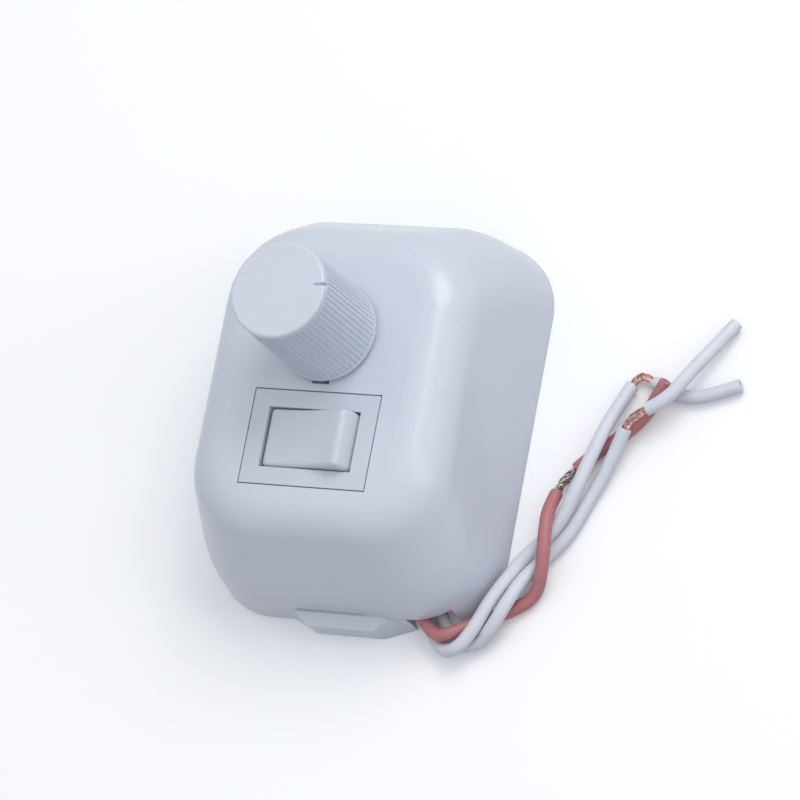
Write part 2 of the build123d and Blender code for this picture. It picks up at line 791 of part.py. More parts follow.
# Rocker: dished top between two crests, ends round the pivot, trunnions, and a stem for the spring.
# It is drawn level and turned about its pivot to its rest with the left end pressed.
end_low = -rocker_skirt
end_low_x = sqrt(rocker_end_radius**2 - end_low**2)
end_high_x = rocker_end_radius * cos(radians(rocker_end_rise))
end_high = rocker_end_radius * sin(radians(rocker_end_rise))
right_crest = (rocker_crest_x, rocker_crest_height)
left_crest = (-rocker_crest_x, rocker_crest_height)
pivot_axis = Axis((0, switch_y, pivot_z), (0, 1, 0))
rest_turn = -rocker_tilt
with BuildPart() as rocker_level:
    with BuildSketch(pivot_face):
        with BuildLine():
            ThreePointArc((end_low_x, end_low), (rocker_end_radius, 0), (end_high_x, end_high))
            Line((end_high_x, end_high), right_crest)
            ThreePointArc(right_crest, (0, rocker_dish_height), left_crest)
            Line(left_crest, (-end_high_x, end_high))
            ThreePointArc((-end_high_x, end_high), (-rocker_end_radius, 0), (-end_low_x, end_low))
            Line((-end_low_x, end_low), (end_low_x, end_low))
        make_face()
    extrude(amount=rocker_width / 2, both=True)
    crest_edges = rocker_level.edges().filter_by(Axis.Y).group_by(Axis.Z)[-1]
    fillet(crest_edges, rocker_crest_round)
    side_edges = rocker_level.edges().group_by(Axis.Y)
    rim_edges = (side_edges[0] + side_edges[-1]).filter_by(lambda edge: edge.center().Z > pivot_z)
    fillet(rim_edges, rocker_rim_round)
    # hollow from below
    inner_x = rocker_end_radius - rocker_shell
    with BuildSketch(pivot_face):
        with Locations((0, (rocker_dish_height - rocker_shell - rocker_skirt) / 2)):
            Rectangle(2 * inner_x - rocker_shell, rocker_dish_height - rocker_shell + rocker_skirt)
    extrude(amount=rocker_width / 2 - rocker_shell, both=True, mode=Mode.SUBTRACT)
    # stem with its spring bore
    with BuildSketch(Plane(origin=(0, switch_y, pivot_z + rocker_dish_height - rocker_shell))):
        Circle(stem_diameter / 2)
    extrude(amount=-(stem_length + rocker_dish_height - rocker_shell))
    with BuildSketch(Plane(origin=(0, switch_y, pivot_z - stem_length))):
        Circle(plunger_diameter / 2 + plunger_clearance)
    extrude(amount=stem_length, mode=Mode.SUBTRACT)
    for side in (-1, 1):
        side_y = switch_y + side * rocker_width / 2
        with BuildSketch(Plane(origin=(0, side_y, pivot_z), x_dir=(1, 0, 0), z_dir=(0, side, 0))):
            Circle(trunnion_diameter / 2)
        extrude(amount=trunnion_length)
rocker = rocker_level.part.rotate(pivot_axis, rest_turn)
rocker.label = "rocker"
export_step(rocker, "parts/rocker.step")

# Plunger and spring in the stem: the tip slides over the contact bridge as the rocker tips
bridge_z = switch_floor_z + bridge_pivot_above_floor
plunger_reach = pivot_z - bridge_z - bridge_thickness - plunger_tip_gap
with BuildPart() as plunger_level:
    with BuildSketch(Plane(origin=(0, switch_y, pivot_z - plunger_reach + plunger_length))):
        Circle(plunger_diameter / 2)
    extrude(amount=-plunger_length)
    fillet(plunger_level.edges().group_by(Axis.Z)[0], plunger_diameter / 2 - plunger_clearance)
rocker_plunger = plunger_level.part.rotate(pivot_axis, rest_turn)
rocker_plunger.label = "rocker_plunger"
export_step(rocker_plunger, "parts/rocker_plunger.step")

spring_length = plunger_reach - plunger_length - 2 * spring_wire
spring_radius = plunger_diameter / 2 - spring_wire
spring_foot = (0, switch_y, pivot_z - plunger_reach + plunger_length + spring_wire)
with BuildPart() as spring_level:
    with BuildLine() as coil:
        Helix(spring_length / spring_turns, spring_length, spring_radius, center=spring_foot)
    with BuildSketch(Plane(origin=coil.line @ 0, z_dir=coil.line % 0)):
        Circle(spring_wire / 2)
    sweep(path=coil.line)
rocker_spring = spring_level.part.rotate(pivot_axis, rest_turn)
rocker_spring.label = "rocker_spring"
export_step(rocker_spring, "parts/rocker_spring.step")

# Contact bridge: bronze strip that rocks on the middle blade, with its contact rivet at the left end.
# It is drawn level and turned to its rest, tipped the other way from the rocker.
bridge_axis = Axis((0, switch_y, bridge_z), (0, 1, 0))
with BuildPart() as bridge_level:
    with BuildSketch(switch_plane.offset(bridge_z)):
        Rectangle(bridge_length, bridge_width)
    extrude(amount=bridge_thickness)
    with BuildSketch(switch_plane.offset(bridge_z)):
        with Locations((-contact_x, 0)):
            Circle(contact_diameter / 2)
    extrude(amount=-contact_height)
contact_bridge = bridge_level.part.rotate(bridge_axis, bridge_tilt)
contact_bridge.label = "contact_bridge"
export_step(contact_bridge, "parts/contact_bridge.step")

# Blades: brass terminals through the floor, the middle one rising to carry the bridge
blade_tops = ((0.0, bridge_z - fulcrum_gap), (-contact_x, switch_floor_z + blade_thickness / 2))
blade_low_z = switch_back_z - blade_length
with BuildPart() as switch_terminals:
    for blade_x, blade_top_z in blade_tops:
        with BuildSketch(switch_plane.offset(blade_low_z)):
            with Locations((blade_x, 0)):
                Rectangle(blade_thickness, blade_width)
        extrude(amount=blade_top_z - blade_low_z)
switch_terminals.part.label = "switch_terminals"
export_step(switch_terminals.part, "parts/switch_terminals.step")

with BuildPart() as contact_point:
    with BuildSketch(switch_plane.offset(switch_floor_z + blade_thickness / 2)):
        with Locations((-contact_x, 0)):
            Circle(contact_diameter / 2)
    extrude(amount=contact_height)
contact_point.part.label = "contact_point"
export_step(contact_point.part, "parts/contact_point.step")

# Places of the components on the board: the heat sink's fin stands beside the side wall, and the rest
# keeps clear of it
sink_top_z = board_face_z + heat_sink_thickness
fin_top_z = sink_top_z + heat_sink_fin_height
fin_outer_x = wall + side_inset(fin_top_z, side_slope) + heat_sink_clearance - cover_width / 2
wing_width = heat_sink_thickness + heat_sink_fin_gap
triac_x = fin_outer_x + wing_width + triac_width / 2
resistor_x = triac_x + (triac_width + resistor_pitch) / 2 + resistor_spacing
resistor_places = [(resistor_x, row) for row in resistor_rows]
filter_place = (board_width / 2 - filter_from_side, filter_y)
choke_axis_z = board_face_z + seat_gap + choke_winding_diameter / 2
choke_reach = choke_winding_diameter / 2 + choke_clearance
choke_y = cover_length / 2 - wall - end_inset(choke_axis_z, top_end_slope) - choke_reach
choke_place = (choke_x, choke_y)

# Places of the component legs on the board
filter_legs = [(filter_place[0], filter_place[1] + side * filter_pitch / 2) for side in (-1, 1)]
timing_legs = [(timing_place[0] + side * timing_pitch / 2, timing_place[1]) for side in (-1, 1)]
resistor_legs = [(x + side * resistor_pitch / 2, y) for x, y in resistor_places for side in (-1, 1)]
diac_legs = [(diac_place[0] + side * diac_pitch / 2, diac_place[1]) for side in (-1, 1)]
choke_legs = [(choke_place[0] + side * choke_core_length / 2, choke_place[1]) for side in (-1, 1)]
triac_leg_y = triac_y - triac_leg_run
triac_legs_at = [(triac_x + column * triac_leg_pitch, triac_leg_y) for column in (-1, 0, 1)]
terminals_at = [(column * terminal_pitch, strip_end - terminal_thickness / 2) for column in (-1, 0, 1)]
sink_screw_y = triac_y + triac_length + triac_tab_length / 2
leg_low_z = board_back_z - leg_tail

# Circuit board with a hole for each leg, terminal and screw
with BuildPart() as circuit_board:
    with BuildSketch(Plane.XY.offset(board_back_z)):
        with Locations((0, (board_low_y + board_high_y) / 2)):
            Rectangle(board_width, board_high_y - board_low_y)
    extrude(amount=board_thickness)
    fillet(circuit_board.edges().filter_by(Axis.Z).group_by(Axis.Y)[-1], board_corner)
    with BuildSketch(Plane.XY.offset(board_back_z)):
        with Locations((-boss_x, boss_y), (boss_x, boss_y)):
            Circle(board_screw_diameter / 2 + sink_screw_clearance)
        with Locations(*filter_legs, *timing_legs, *resistor_legs, *diac_legs, *choke_legs):
            Circle(leg_diameter / 2 + leg_hole_clearance)
        with Locations(*triac_legs_at):
            Rectangle(triac_leg_width + 2 * leg_hole_clearance, triac_leg_thickness + 2 * leg_hole_clearance)
        with Locations((triac_x, sink_screw_y)):
            Circle(sink_screw_diameter / 2 + sink_screw_clearance)
        with Locations(*terminals_at):
            Rectangle(terminal_width + 2 * leg_hole_clearance, terminal_thickness + 2 * leg_hole_clearance)
    extrude(amount=board_thickness, mode=Mode.SUBTRACT)
circuit_board.part.label = "circuit_board"
export_step(circuit_board.part, "parts/circuit_board.step")

# Heat sink: folded aluminium strip under the triac, with a fin along the side wall
sink_low_y = triac_y - heat_sink_margin
fin_y = sink_low_y + heat_sink_fin_length / 2
with BuildPart() as heat_sink:
    with BuildSketch(Plane.XY.offset(board_face_z)):
        with Locations((triac_x, sink_low_y + heat_sink_length / 2)):
            Rectangle(triac_width, heat_sink_length)
        with Locations((triac_x - (triac_width + wing_width) / 2, fin_y)):
            Rectangle(wing_width, heat_sink_fin_length)
        with Locations((triac_x, sink_screw_y)):
            Circle(sink_screw_diameter / 2 + sink_screw_clearance, mode=Mode.SUBTRACT)
    extrude(amount=heat_sink_thickness)
    with BuildSketch(Plane.XY.offset(sink_top_z)):
        with Locations((fin_outer_x + heat_sink_thickness / 2, fin_y)):
            Rectangle(heat_sink_thickness, heat_sink_fin_length)
    extrude(amount=heat_sink_fin_height)
heat_sink.part.label = "heat_sink"
export_step(heat_sink.part, "parts/heat_sink.step")

# Triac lying on the heat sink: moulded body with its metal tab, and three bent legs
with BuildPart() as triac:
    with BuildSketch(Plane.XY.offset(sink_top_z)):
        with Locations((triac_x, triac_y + triac_length / 2)):
            Rectangle(triac_width, triac_length)
    extrude(amount=triac_height)
    with BuildSketch(Plane.XY.offset(sink_top_z)):
        with Locations((triac_x, triac_y + triac_length + triac_tab_length / 2)):
            Rectangle(triac_width, triac_tab_length)
        with Locations((triac_x, sink_screw_y)):
            Circle(sink_screw_diameter / 2 + sink_screw_clearance, mode=Mode.SUBTRACT)
    extrude(amount=triac_tab_thickness)
triac.part.label = "triac"
export_step(triac.part, "parts/triac.step")

triac_leg_z = sink_top_z + triac_tab_thickness
with BuildPart() as triac_legs:
    for leg_x, leg_y in triac_legs_at:
        with BuildSketch(Plane.XY.offset(triac_leg_z)):
            with Locations((leg_x, (leg_y - triac_leg_thickness / 2 + triac_y) / 2)):
                Rectangle(triac_leg_width, triac_y - leg_y + triac_leg_thickness / 2)
        extrude(amount=triac_leg_thickness)
        with BuildSketch(Plane.XY.offset(triac_leg_z)):
            with Locations((leg_x, leg_y)):
                Rectangle(triac_leg_width, triac_leg_thickness)
        extrude(amount=leg_low_z - triac_leg_z)
triac_legs.part.label = "triac_legs"
export_step(triac_legs.part, "parts/triac_legs.step")

# Screw and nut that clamp the triac and its heat sink to the board
tab_top_z = sink_top_z + triac_tab_thickness
with BuildPart() as heat_sink_screw:
    with BuildSketch(Plane.XY.offset(tab_top_z)):
        with Locations((triac_x, sink_screw_y)):
            Circle(sink_screw_head / 2)
    extrude(amount=sink_screw_head_height)
    with BuildSketch(Plane.XY.offset(tab_top_z)):
        with Locations((triac_x, sink_screw_y)):
            Circle(sink_screw_diameter / 2)
    extrude(amount=board_back_z - sink_nut_thickness - tab_top_z)
heat_sink_screw.part.label = "heat_sink_screw"
export_step(heat_sink_screw.part, "parts/heat_sink_screw.step")

with BuildPart() as heat_sink_nut:
    with BuildSketch(Plane.XY.offset(board_back_z)):
        with Locations((triac_x, sink_screw_y)):
            RegularPolygon(sink_nut_across_flats / 2, 6, major_radius=False)
            Circle((sink_screw_diameter + shaft_clearance) / 2, mode=Mode.SUBTRACT)
    extrude(amount=-sink_nut_thickness)
heat_sink_nut.part.label = "heat_sink_nut"
export_step(heat_sink_nut.part, "parts/heat_sink_nut.step")

# Film capacitors: boxes standing just off the board
for name, size, place in (
    ("filter_capacitor", filter_size, filter_place),
    ("timing_capacitor", timing_size, timing_place),
):
    with BuildPart() as capacitor:
        with BuildSketch(Plane.XY.offset(board_face_z + seat_gap)):
            with Locations(place):
                Rectangle(size[0], size[1])
        extrude(amount=size[2])
        fillet(capacitor.edges().filter_by(Axis.Z), seat_gap)
    capacitor.part.label = name
    export_step(capacitor.part, f"parts/{name}.step")

# Resistors and diac: small cylinders lying across the board on their own wires
resistor_axis_z = board_face_z + seat_gap + resistor_diameter / 2
with BuildPart() as resistors:
    for place_x, place_y in resistor_places:
        with BuildSketch(Plane.YZ.offset(place_x)):
            with Locations((place_y, resistor_axis_z)):
                Circle(resistor_diameter / 2)
        extrude(amount=resistor_length / 2, both=True)
resistors.part.label = "resistors"
export_step(resistors.part, "parts/resistors.step")

diac_axis_z = board_face_z + seat_gap + diac_diameter / 2
with BuildPart() as diac:
    with BuildSketch(Plane.YZ.offset(diac_place[0])):
        with Locations((diac_place[1], diac_axis_z)):
            Circle(diac_diameter / 2)
    extrude(amount=diac_length / 2, both=True)
diac.part.label = "diac"
export_step(diac.part, "parts/diac.step")

# Choke: ferrite rod inside its winding
choke_winding_low_z = choke_axis_z - (choke_core_diameter + choke_winding_diameter) / 4
choke_face = Plane(origin=(*choke_place, choke_axis_z), x_dir=(0, 1, 0), z_dir=(1, 0, 0))
with BuildPart() as choke_core:
    with BuildSketch(choke_face):
        Circle(choke_core_diameter / 2)
    extrude(amount=choke_core_length / 2 - leg_diameter, both=True)
choke_core.part.label = "choke_core"
export_step(choke_core.part, "parts/choke_core.step")

with BuildPart() as choke_winding:
    with BuildSketch(choke_face):
        Circle(choke_winding_diameter / 2)
        Circle(choke_core_diameter / 2 + choke_bore_clearance, mode=Mode.SUBTRACT)
    extrude(amount=choke_winding_length / 2, both=True)
choke_winding.part.label = "choke_winding"
export_step(choke_winding.part, "parts/choke_winding.step")

# Component legs: straight wires under the capacitors, bent wires at the ends of the others
with BuildPart() as component_legs:
    with BuildSketch(Plane.XY.offset(board_face_z + seat_gap)):
        with Locations(*filter_legs, *timing_legs):
            Circle(leg_diameter / 2)
    extrude(amount=leg_low_z - board_face_z - seat_gap)
    for (centre_x, centre_y), length, pitch, axis_z in (
        (resistor_places[0], resistor_length, resistor_pitch, resistor_axis_z),
        (resistor_places[1], resistor_length, resistor_pitch, resistor_axis_z),
        (diac_place, diac_length, diac_pitch, diac_axis_z),
        (choke_place, choke_winding_length, choke_core_length, choke_winding_low_z),
    ):
        for side in (-1, 1):
            start = (centre_x + side * length / 2, centre_y, axis_z)
            corner = (centre_x + side * pitch / 2, centre_y, axis_z)
            foot = (centre_x + side * pitch / 2, centre_y, leg_low_z)
            add(rounded_tube((start, corner, foot), leg_diameter))
component_legs.part.label = "component_legs"
export_step(component_legs.part, "parts/component_legs.step")

# Free leads: limp stranded wires lying on the surface, from the lead notch to where they are stripped
red_lead_route = (
    (14.6, -31.3, 3.6),
    (16.0, -32.9, 3.6),
    (18.2, -32.9, 3.8),
    (20.5, -31.3, 2.8),
    (23.6, -29.2, 1.2),
    (27.6, -27.4, 1.2),
    (30.9, -24.9, 1.2),
    (32.2, -20.8, 4.2),
    (31.9, -16.0, 5.0),
    (31.4, -11.8, 4.2),
    (31.7, -8.8, 2.6),
)
white_lead_a_route = (
    (14.2, -31.2, 1.2),
    (15.7, -33.5, 1.2),
    (17.9, -35.2, 2.2),
    (20.7, -34.8, 3.9),
    (22.8, -31.4, 4.0),
    (24.5, -27.0, 3.9),
    (26.4, -23.0, 3.2),
    (28.0, -19.6, 2.4),
    (30.6, -16.6, 2.3),
    (33.2, -13.4, 2.7),
    (35.0, -9.2, 3.8),
    (36.4, -4.2, 3.9),
    (37.8, 0.9, 3.6),
    (38.9, 5.3, 2.3),
    (40.4, 9.6, 1.3),
)
white_lead_b_route = (
    (16.9, -31.0, 1.2),
    (18.1, -32.8, 1.2),
    (20.3, -33.6, 1.2),
    (23.2, -33.3, 1.5),
    (25.9, -30.4, 3.9),
    (27.4, -26.8, 3.9),
    (28.7, -23.0, 3.0),
    (30.8, -19.4, 1.2),
    (34.4, -15.1, 1.2),
    (36.5, -9.4, 1.2),
    (39.0, -4.2, 1.8),
    (41.5, 1.9, 3.8),
)

# Bare strands and the cut slugs of insulation on their tips, each in line with what it comes out of
red_strands_route = (red_lead_route[-1], beyond(red_lead_route, 2.9), (33.6, -4.4, 1.2))
red_slug_route = (
    red_strands_route[-1],
    beyond(red_strands_route, 3.2),
    (40.9, 2.0, 1.2),
    (43.6, 5.0, 1.4),
    (45.3, 7.3, 2.9),
    (46.9, 9.8, 3.9),
)
white_strands_a_route = (
    white_lead_a_route[-1],
    beyond(white_lead_a_route, 1.2),
    (42.2, 11.4, 1.2),
    (43.8, 10.4, 1.2),
)
white_slug_a_route = (
    white_strands_a_route[-1],
    beyond(white_strands_a_route, 2.4),
    (49.2, 8.3, 1.2),
    (53.0, 8.6, 1.2),
    (58.0, 10.7, 1.2),
)
white_strands_b_route = (white_lead_b_route[-1], beyond(white_lead_b_route, 2.0), (44.8, 4.9, 4.7))
white_slug_b_route = (
    white_strands_b_route[-1],
    beyond(white_strands_b_route, 3.4),
    (50.6, 11.4, 4.2),
    (53.0, 16.0, 2.4),
    (55.6, 20.6, 1.2),
)

# Held leads inside the housing, from the blades and the back of the board to the notch
blade_face = blade_thickness / 2
blade_joint_z = blade_low_z + blade_joint_rise
red_inner_route = (
    (blade_face, switch_y, blade_joint_z),
    (4.2, switch_y, blade_joint_z),
    (6.0, -15.2, 5.6),
    (7.8, -20.4, 4.9),
    (10.2, -25.2, 4.2),
    beyond(red_lead_route[1::-1], 2.8),
    red_lead_route[0],
)
white_inner_a_route = (
    (7.0, 0.4, board_back_z),
    (7.0, 0.4, 3.9),
    (7.9, -4.6, 3.5),
    (9.4, -10.6, 3.5),
    (11.0, -16.6, 3.2),
    (11.8, -22.6, 1.7),
    beyond(white_lead_a_route[1::-1], 2.8),
    white_lead_a_route[0],
)
white_inner_b_route = (
    (13.0, -0.8, board_back_z),
    (13.0, -0.8, 4.0),
    (13.4, -5.6, 3.6),
    (14.0, -11.0, 3.6),
    (14.6, -17.0, 3.2),
    (14.8, -23.0, 1.6),
    beyond(white_lead_b_route[1::-1], 2.8),
    white_lead_b_route[0],
)
switch_wire_route = (
    (-contact_x - blade_face, switch_y, blade_joint_z),
    (-9.4, switch_y, blade_joint_z),
    (-11.8, -5.4, 4.0),
    (-12.2, 0.6, 4.4),
    (-12.2, 0.6, board_back_z),
)

for name, route, diameter in (
    ("red_lead", red_lead_route, lead_diameter),
    ("white_lead_a", white_lead_a_route, lead_diameter),
    ("white_lead_b", white_lead_b_route, lead_diameter),
    ("red_strands", red_strands_route, strand_diameter),
    ("white_strands_a", white_strands_a_route, strand_diameter),
    ("white_strands_b", white_strands_b_route, strand_diameter),
    ("red_slug", red_slug_route, lead_diameter),
    ("white_slug_a", white_slug_a_route, lead_diameter),
    ("white_slug_b", white_slug_b_route, lead_diameter),
    ("red_lead_inner", red_inner_route, lead_diameter),
    ("white_lead_a_inner", white_inner_a_route, lead_diameter),
    ("white_lead_b_inner", white_inner_b_route, lead_diameter),
    ("switch_wire", switch_wire_route, lead_diameter),
):
    lead = rounded_tube(route, diameter)
    lead.label = name
    export_step(lead, f"parts/{name}.step")
    length = route_path(route).length
    expected = pi * diameter**2 / 4 * length
    radii = ", ".join(f"{radius:.1f}" for radius in route_radii(route))
    print(f"{name}: length {length:.1f}, volume {lead.volume:.2f} of {expected:.2f}, radii {radii}")
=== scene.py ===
from math import cos, pi, radians, sin

import bpy
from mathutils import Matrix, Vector
from mathutils.noise import noise


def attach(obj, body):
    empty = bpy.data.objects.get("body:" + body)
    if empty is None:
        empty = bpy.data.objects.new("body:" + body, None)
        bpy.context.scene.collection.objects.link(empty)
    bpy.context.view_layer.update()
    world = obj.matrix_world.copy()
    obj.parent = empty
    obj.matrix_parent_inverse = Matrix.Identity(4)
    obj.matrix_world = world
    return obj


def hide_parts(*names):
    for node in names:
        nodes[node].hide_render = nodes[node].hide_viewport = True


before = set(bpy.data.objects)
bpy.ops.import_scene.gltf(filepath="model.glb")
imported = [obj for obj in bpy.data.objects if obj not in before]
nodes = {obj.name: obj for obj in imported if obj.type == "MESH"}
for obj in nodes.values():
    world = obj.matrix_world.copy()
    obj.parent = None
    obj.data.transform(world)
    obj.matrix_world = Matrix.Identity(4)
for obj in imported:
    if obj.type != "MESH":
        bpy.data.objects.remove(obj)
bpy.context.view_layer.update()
mm = 0.001

# Camera: it looks down on the dimmer from its right and a little from below, from so far off that
# the box shows almost no perspective. Its place and turn are those at which the box, the knob and
# the bezel line up with the photograph.
camera_place = (0.31162, -0.19062, 0.65001)
camera_turn_deg = (19.8126, 22.2389, 11.3290)
camera_lens = 213.6
nearest_seen = 0.05
farthest_seen = 10.0

camera = bpy.data.objects.new("camera", bpy.data.cameras.new("camera"))
bpy.context.scene.collection.objects.link(camera)
camera.location = camera_place
camera.rotation_euler = [radians(turn) for turn in camera_turn_deg]
camera.data.lens = camera_lens
camera.data.clip_start = nearest_seen
camera.data.clip_end = farthest_seen
bpy.context.scene.camera = camera
bpy.context.scene.view_settings.view_transform = "Standard"


# Studio: a white sweep of paper under the dimmer, and pale air that dims towards the horizon. A
# soft box beyond the upper right corner puts the knob's soft shadow to the lower left, and a tall
# strip light fills the right side and draws the faint gleam on the right shoulder.
floor_span = 3.0
floor_drop = 0.02 * mm  # keeps the paper just clear of the wall face, which is at z = 0
paper_roughness = 0.9
paper_specular = 0.1
paper_glow = 0.08  # brings the paper up to white where the eye sees it
horizon_strength = 0.35
overhead_strength = 0.775
overhead_height = 0.65  # the Z of a direction, from which on the air has its full strength
box_place = (0.30, 0.42, 0.61)
box_size = (0.40, 0.40)
box_power = 2.0
strip_place = (0.60, 0.04, 0.40)
strip_size = (0.22, 0.55)
strip_power = 0.6
colour_a, colour_b, mixed_colour = 6, 7, 2  # a Mix node's colour sockets, which share their names


def linear(code):
    """An sRGB hex colour as linear red, green, blue and alpha."""
    parts = [int(code[start:start + 2], 16) / 255 for start in (0, 2, 4)]
    return [
        part / 12.92 if part <= 0.04045 else ((part + 0.055) / 1.055) ** 2.4 for part in parts
    ] + [1.0]


def add_node(tree, kind, inputs=None, **settings):
    """Adds a node with its settings. An input is a value, or the socket that it is linked from."""
    made = tree.nodes.new(kind)
    for name, value in settings.items():
        setattr(made, name, value)
    for name, value in (inputs or {}).items():
        if isinstance(value, bpy.types.NodeSocket):
            tree.links.new(value, made.inputs[name])
        else:
            made.inputs[name].default_value = value
    return made


def start_material(name):
    """A new material: (material, its node tree, its Principled shader, coordinates in metres)."""
    material = bpy.data.materials.new(name)
    material.use_nodes = True
    tree = material.node_tree
    place = add_node(tree, "ShaderNodeTexCoord").outputs["Object"]
    return material, tree, tree.nodes["Principled BSDF"], place


def seen_by_eye(tree):
    """One for a ray that ends in the picture, straight or by way of a gleam or glass, else zero."""
    rays = add_node(tree, "ShaderNodeLightPath")
    seen = rays.outputs["Is Camera Ray"]
    for way in ("Is Glossy Ray", "Is Transmission Ray"):
        either = add_node(
            tree, "ShaderNodeMath", {0: seen, 1: rays.outputs[way]}, operation="MAXIMUM"
        )
        seen = either.outputs["Value"]
    return seen


# White paper: pure white to the eye, and light grey to the light, so that it throws little back.
paper, paper_tree, paper_shader, _ = start_material("studio_paper")
paper_seen = seen_by_eye(paper_tree)
paper_tone = add_node(
    paper_tree,
    "ShaderNodeMix",
    {"Factor": paper_seen, colour_a: linear("a8abb1"), colour_b: linear("ffffff")},
    data_type="RGBA",
)
paper_tree.links.new(paper_tone.outputs[mixed_colour], paper_shader.inputs["Base Color"])
glow = add_node(paper_tree, "ShaderNodeMath", {0: paper_seen, 1: paper_glow}, operation="MULTIPLY")
paper_tree.links.new(glow.outputs["Value"], paper_shader.inputs["Emission Strength"])
paper_shader.inputs["Emission Color"].default_value = linear("ffffff")
paper_shader.inputs["Roughness"].default_value = paper_roughness
paper_shader.inputs["Specular IOR Level"].default_value = paper_specular

half = floor_span / 2
floor_corners = [(-half, -half, 0), (half, -half, 0), (half, half, 0), (-half, half, 0)]
floor_mesh = bpy.data.meshes.new("studio_floor")
floor_mesh.from_pydata(floor_corners, [], [(0, 1, 2, 3)])
floor_mesh.materials.append(paper)
floor = bpy.data.objects.new("studio_floor", floor_mesh)
bpy.context.scene.collection.objects.link(floor)
floor.location.z = -floor_drop

world = bpy.data.worlds.new("studio_air")
bpy.context.scene.world = world
world.use_nodes = True
air = world.node_tree
air_light = air.nodes["Background"]
air_light.inputs["Color"].default_value = linear("eef1f8")
air_direction = add_node(air, "ShaderNodeTexCoord").outputs["Generated"]
air_height = add_node(air, "ShaderNodeSeparateXYZ", {"Vector": air_direction}).outputs["Z"]
air_strength = add_node(
    air,
    "ShaderNodeMapRange",
    {
        "Value": air_height,
        "From Max": overhead_height,
        "To Min": horizon_strength,
        "To Max": overhead_strength,
    },
)
air.links.new(air_strength.outputs["Result"], air_light.inputs["Strength"])
air_seen = add_node(air, "ShaderNodeBackground", {"Color": linear("ffffff"), "Strength": 1.0})
air_mix = add_node(
    air,
    "ShaderNodeMixShader",
    {"Fac": seen_by_eye(air), 1: air_light.outputs[0], 2: air_seen.outputs[0]},
)
air.links.new(air_mix.outputs[0], air.nodes["World Output"].inputs["Surface"])

for lamp_name, lamp_place, lamp_size, lamp_power in (
    ("soft_box", box_place, box_size, box_power),
    ("strip_light", strip_place, strip_size, strip_power),
):
    lamp = bpy.data.objects.new(lamp_name, bpy.data.lights.new(lamp_name, "AREA"))
    bpy.context.scene.collection.objects.link(lamp)
    lamp.data.shape = "RECTANGLE"
    lamp.data.size, lamp.data.size_y = lamp_size
    lamp.data.energy = lamp_power
    lamp.location = lamp_place
    lamp.rotation_euler = (-Vector(lamp_place)).to_track_quat("-Z", "Y").to_euler()


# Front cover and base plate: injection-moulded white ABS. The cover is a drafted shell with soft
# edges, a hood over the snap tongue and a notch for the leads. The plate is screwed to the wall,
# and the cover hooks over its top edge.
flow_width = 18 * mm
dust_width = 0.9 * mm
wipe_width = 9 * mm
sink_width = 9 * mm
sink_depth = 0.05 * mm
skin_depth = 0.003 * mm
weld_reach = 0.0005 * mm
sharp_angle = radians(35)


def moulded_plastic(name, tone, shade, speck, gloss, grain_mm, ior):
    """Moulded plastic: near-even colour with faint flow tones and a few dust specks, shallow sinks
    over what is behind, and a satin skin off the tool. The real skin is some ten times as fine as
    its grain here, which is as coarse as it has to be to show."""
    material, tree, shader, place = start_material(name)
    flow = add_node(
        tree, "ShaderNodeTexNoise", {"Vector": place, "Scale": 1 / flow_width, "Detail": 3.0}
    )
    tones = add_node(
        tree,
        "ShaderNodeMix",
        {"Factor": flow.outputs["Fac"], colour_a: linear(tone), colour_b: linear(shade)},
        data_type="RGBA",
    )
    dust = add_node(
        tree, "ShaderNodeTexNoise", {"Vector": place, "Scale": 1 / dust_width, "Detail": 2.0}
    )
    dust_share = add_node(
        tree,
        "ShaderNodeMapRange",
        {"Value": dust.outputs["Fac"], "From Min": 0.70, "From Max": 0.78, "To Max": 0.12},
    )
    specked = add_node(
        tree,
        "ShaderNodeMix",
        {
            "Factor": dust_share.outputs["Result"],
            colour_a: tones.outputs[mixed_colour],
            colour_b: linear(speck),
        },
        data_type="RGBA",
    )
    tree.links.new(specked.outputs[mixed_colour], shader.inputs["Base Color"])
    wipe = add_node(
        tree, "ShaderNodeTexNoise", {"Vector": place, "Scale": 1 / wipe_width, "Detail": 2.0}
    )
    sheen = add_node(
        tree,
        "ShaderNodeMapRange",
        {
            "Value": wipe.outputs["Fac"],
            "From Min": 0.1,
            "From Max": 0.9,
            "To Min": gloss[0],
            "To Max": gloss[1],
        },
    )
    tree.links.new(sheen.outputs["Result"], shader.inputs["Roughness"])
    shader.inputs["IOR"].default_value = ior
    shader.inputs["Subsurface Weight"].default_value = 0.06
    shader.inputs["Subsurface Scale"].default_value = 0.5 * mm
    sink = add_node(
        tree, "ShaderNodeTexNoise", {"Vector": place, "Scale": 1 / sink_width, "Detail": 1.0}
    )
    waves = add_node(
        tree,
        "ShaderNodeBump",
        {"Height": sink.outputs["Fac"], "Distance": sink_depth, "Strength": 0.6},
    )
    skin = add_node(
        tree, "ShaderNodeTexNoise", {"Vector": place, "Scale": 1 / (grain_mm * mm), "Detail": 2.0}
    )
    relief = add_node(
        tree,
        "ShaderNodeBump",
        {
            "Height": skin.outputs["Fac"],
            "Distance": skin_depth,
            "Strength": 0.7,
            "Normal": waves.outputs["Normal"],
        },
    )
    tree.links.new(relief.outputs["Normal"], shader.inputs["Normal"])
    return material


def dress(node, material, edge_mm, segments=2):
    """Gives a CAD node its material and rounds its sharp edges to a small real radius."""
    piece = nodes[node]
    piece.material_slots[0].material = material
    weld = piece.modifiers.new("weld", "WELD")
    weld.merge_threshold = weld_reach
    soft_edge = piece.modifiers.new("soft_edge", "BEVEL")
    soft_edge.width = edge_mm * mm
    soft_edge.segments = segments
    soft_edge.limit_method = "ANGLE"
    soft_edge.angle_limit = sharp_angle
    soft_edge.harden_normals = True


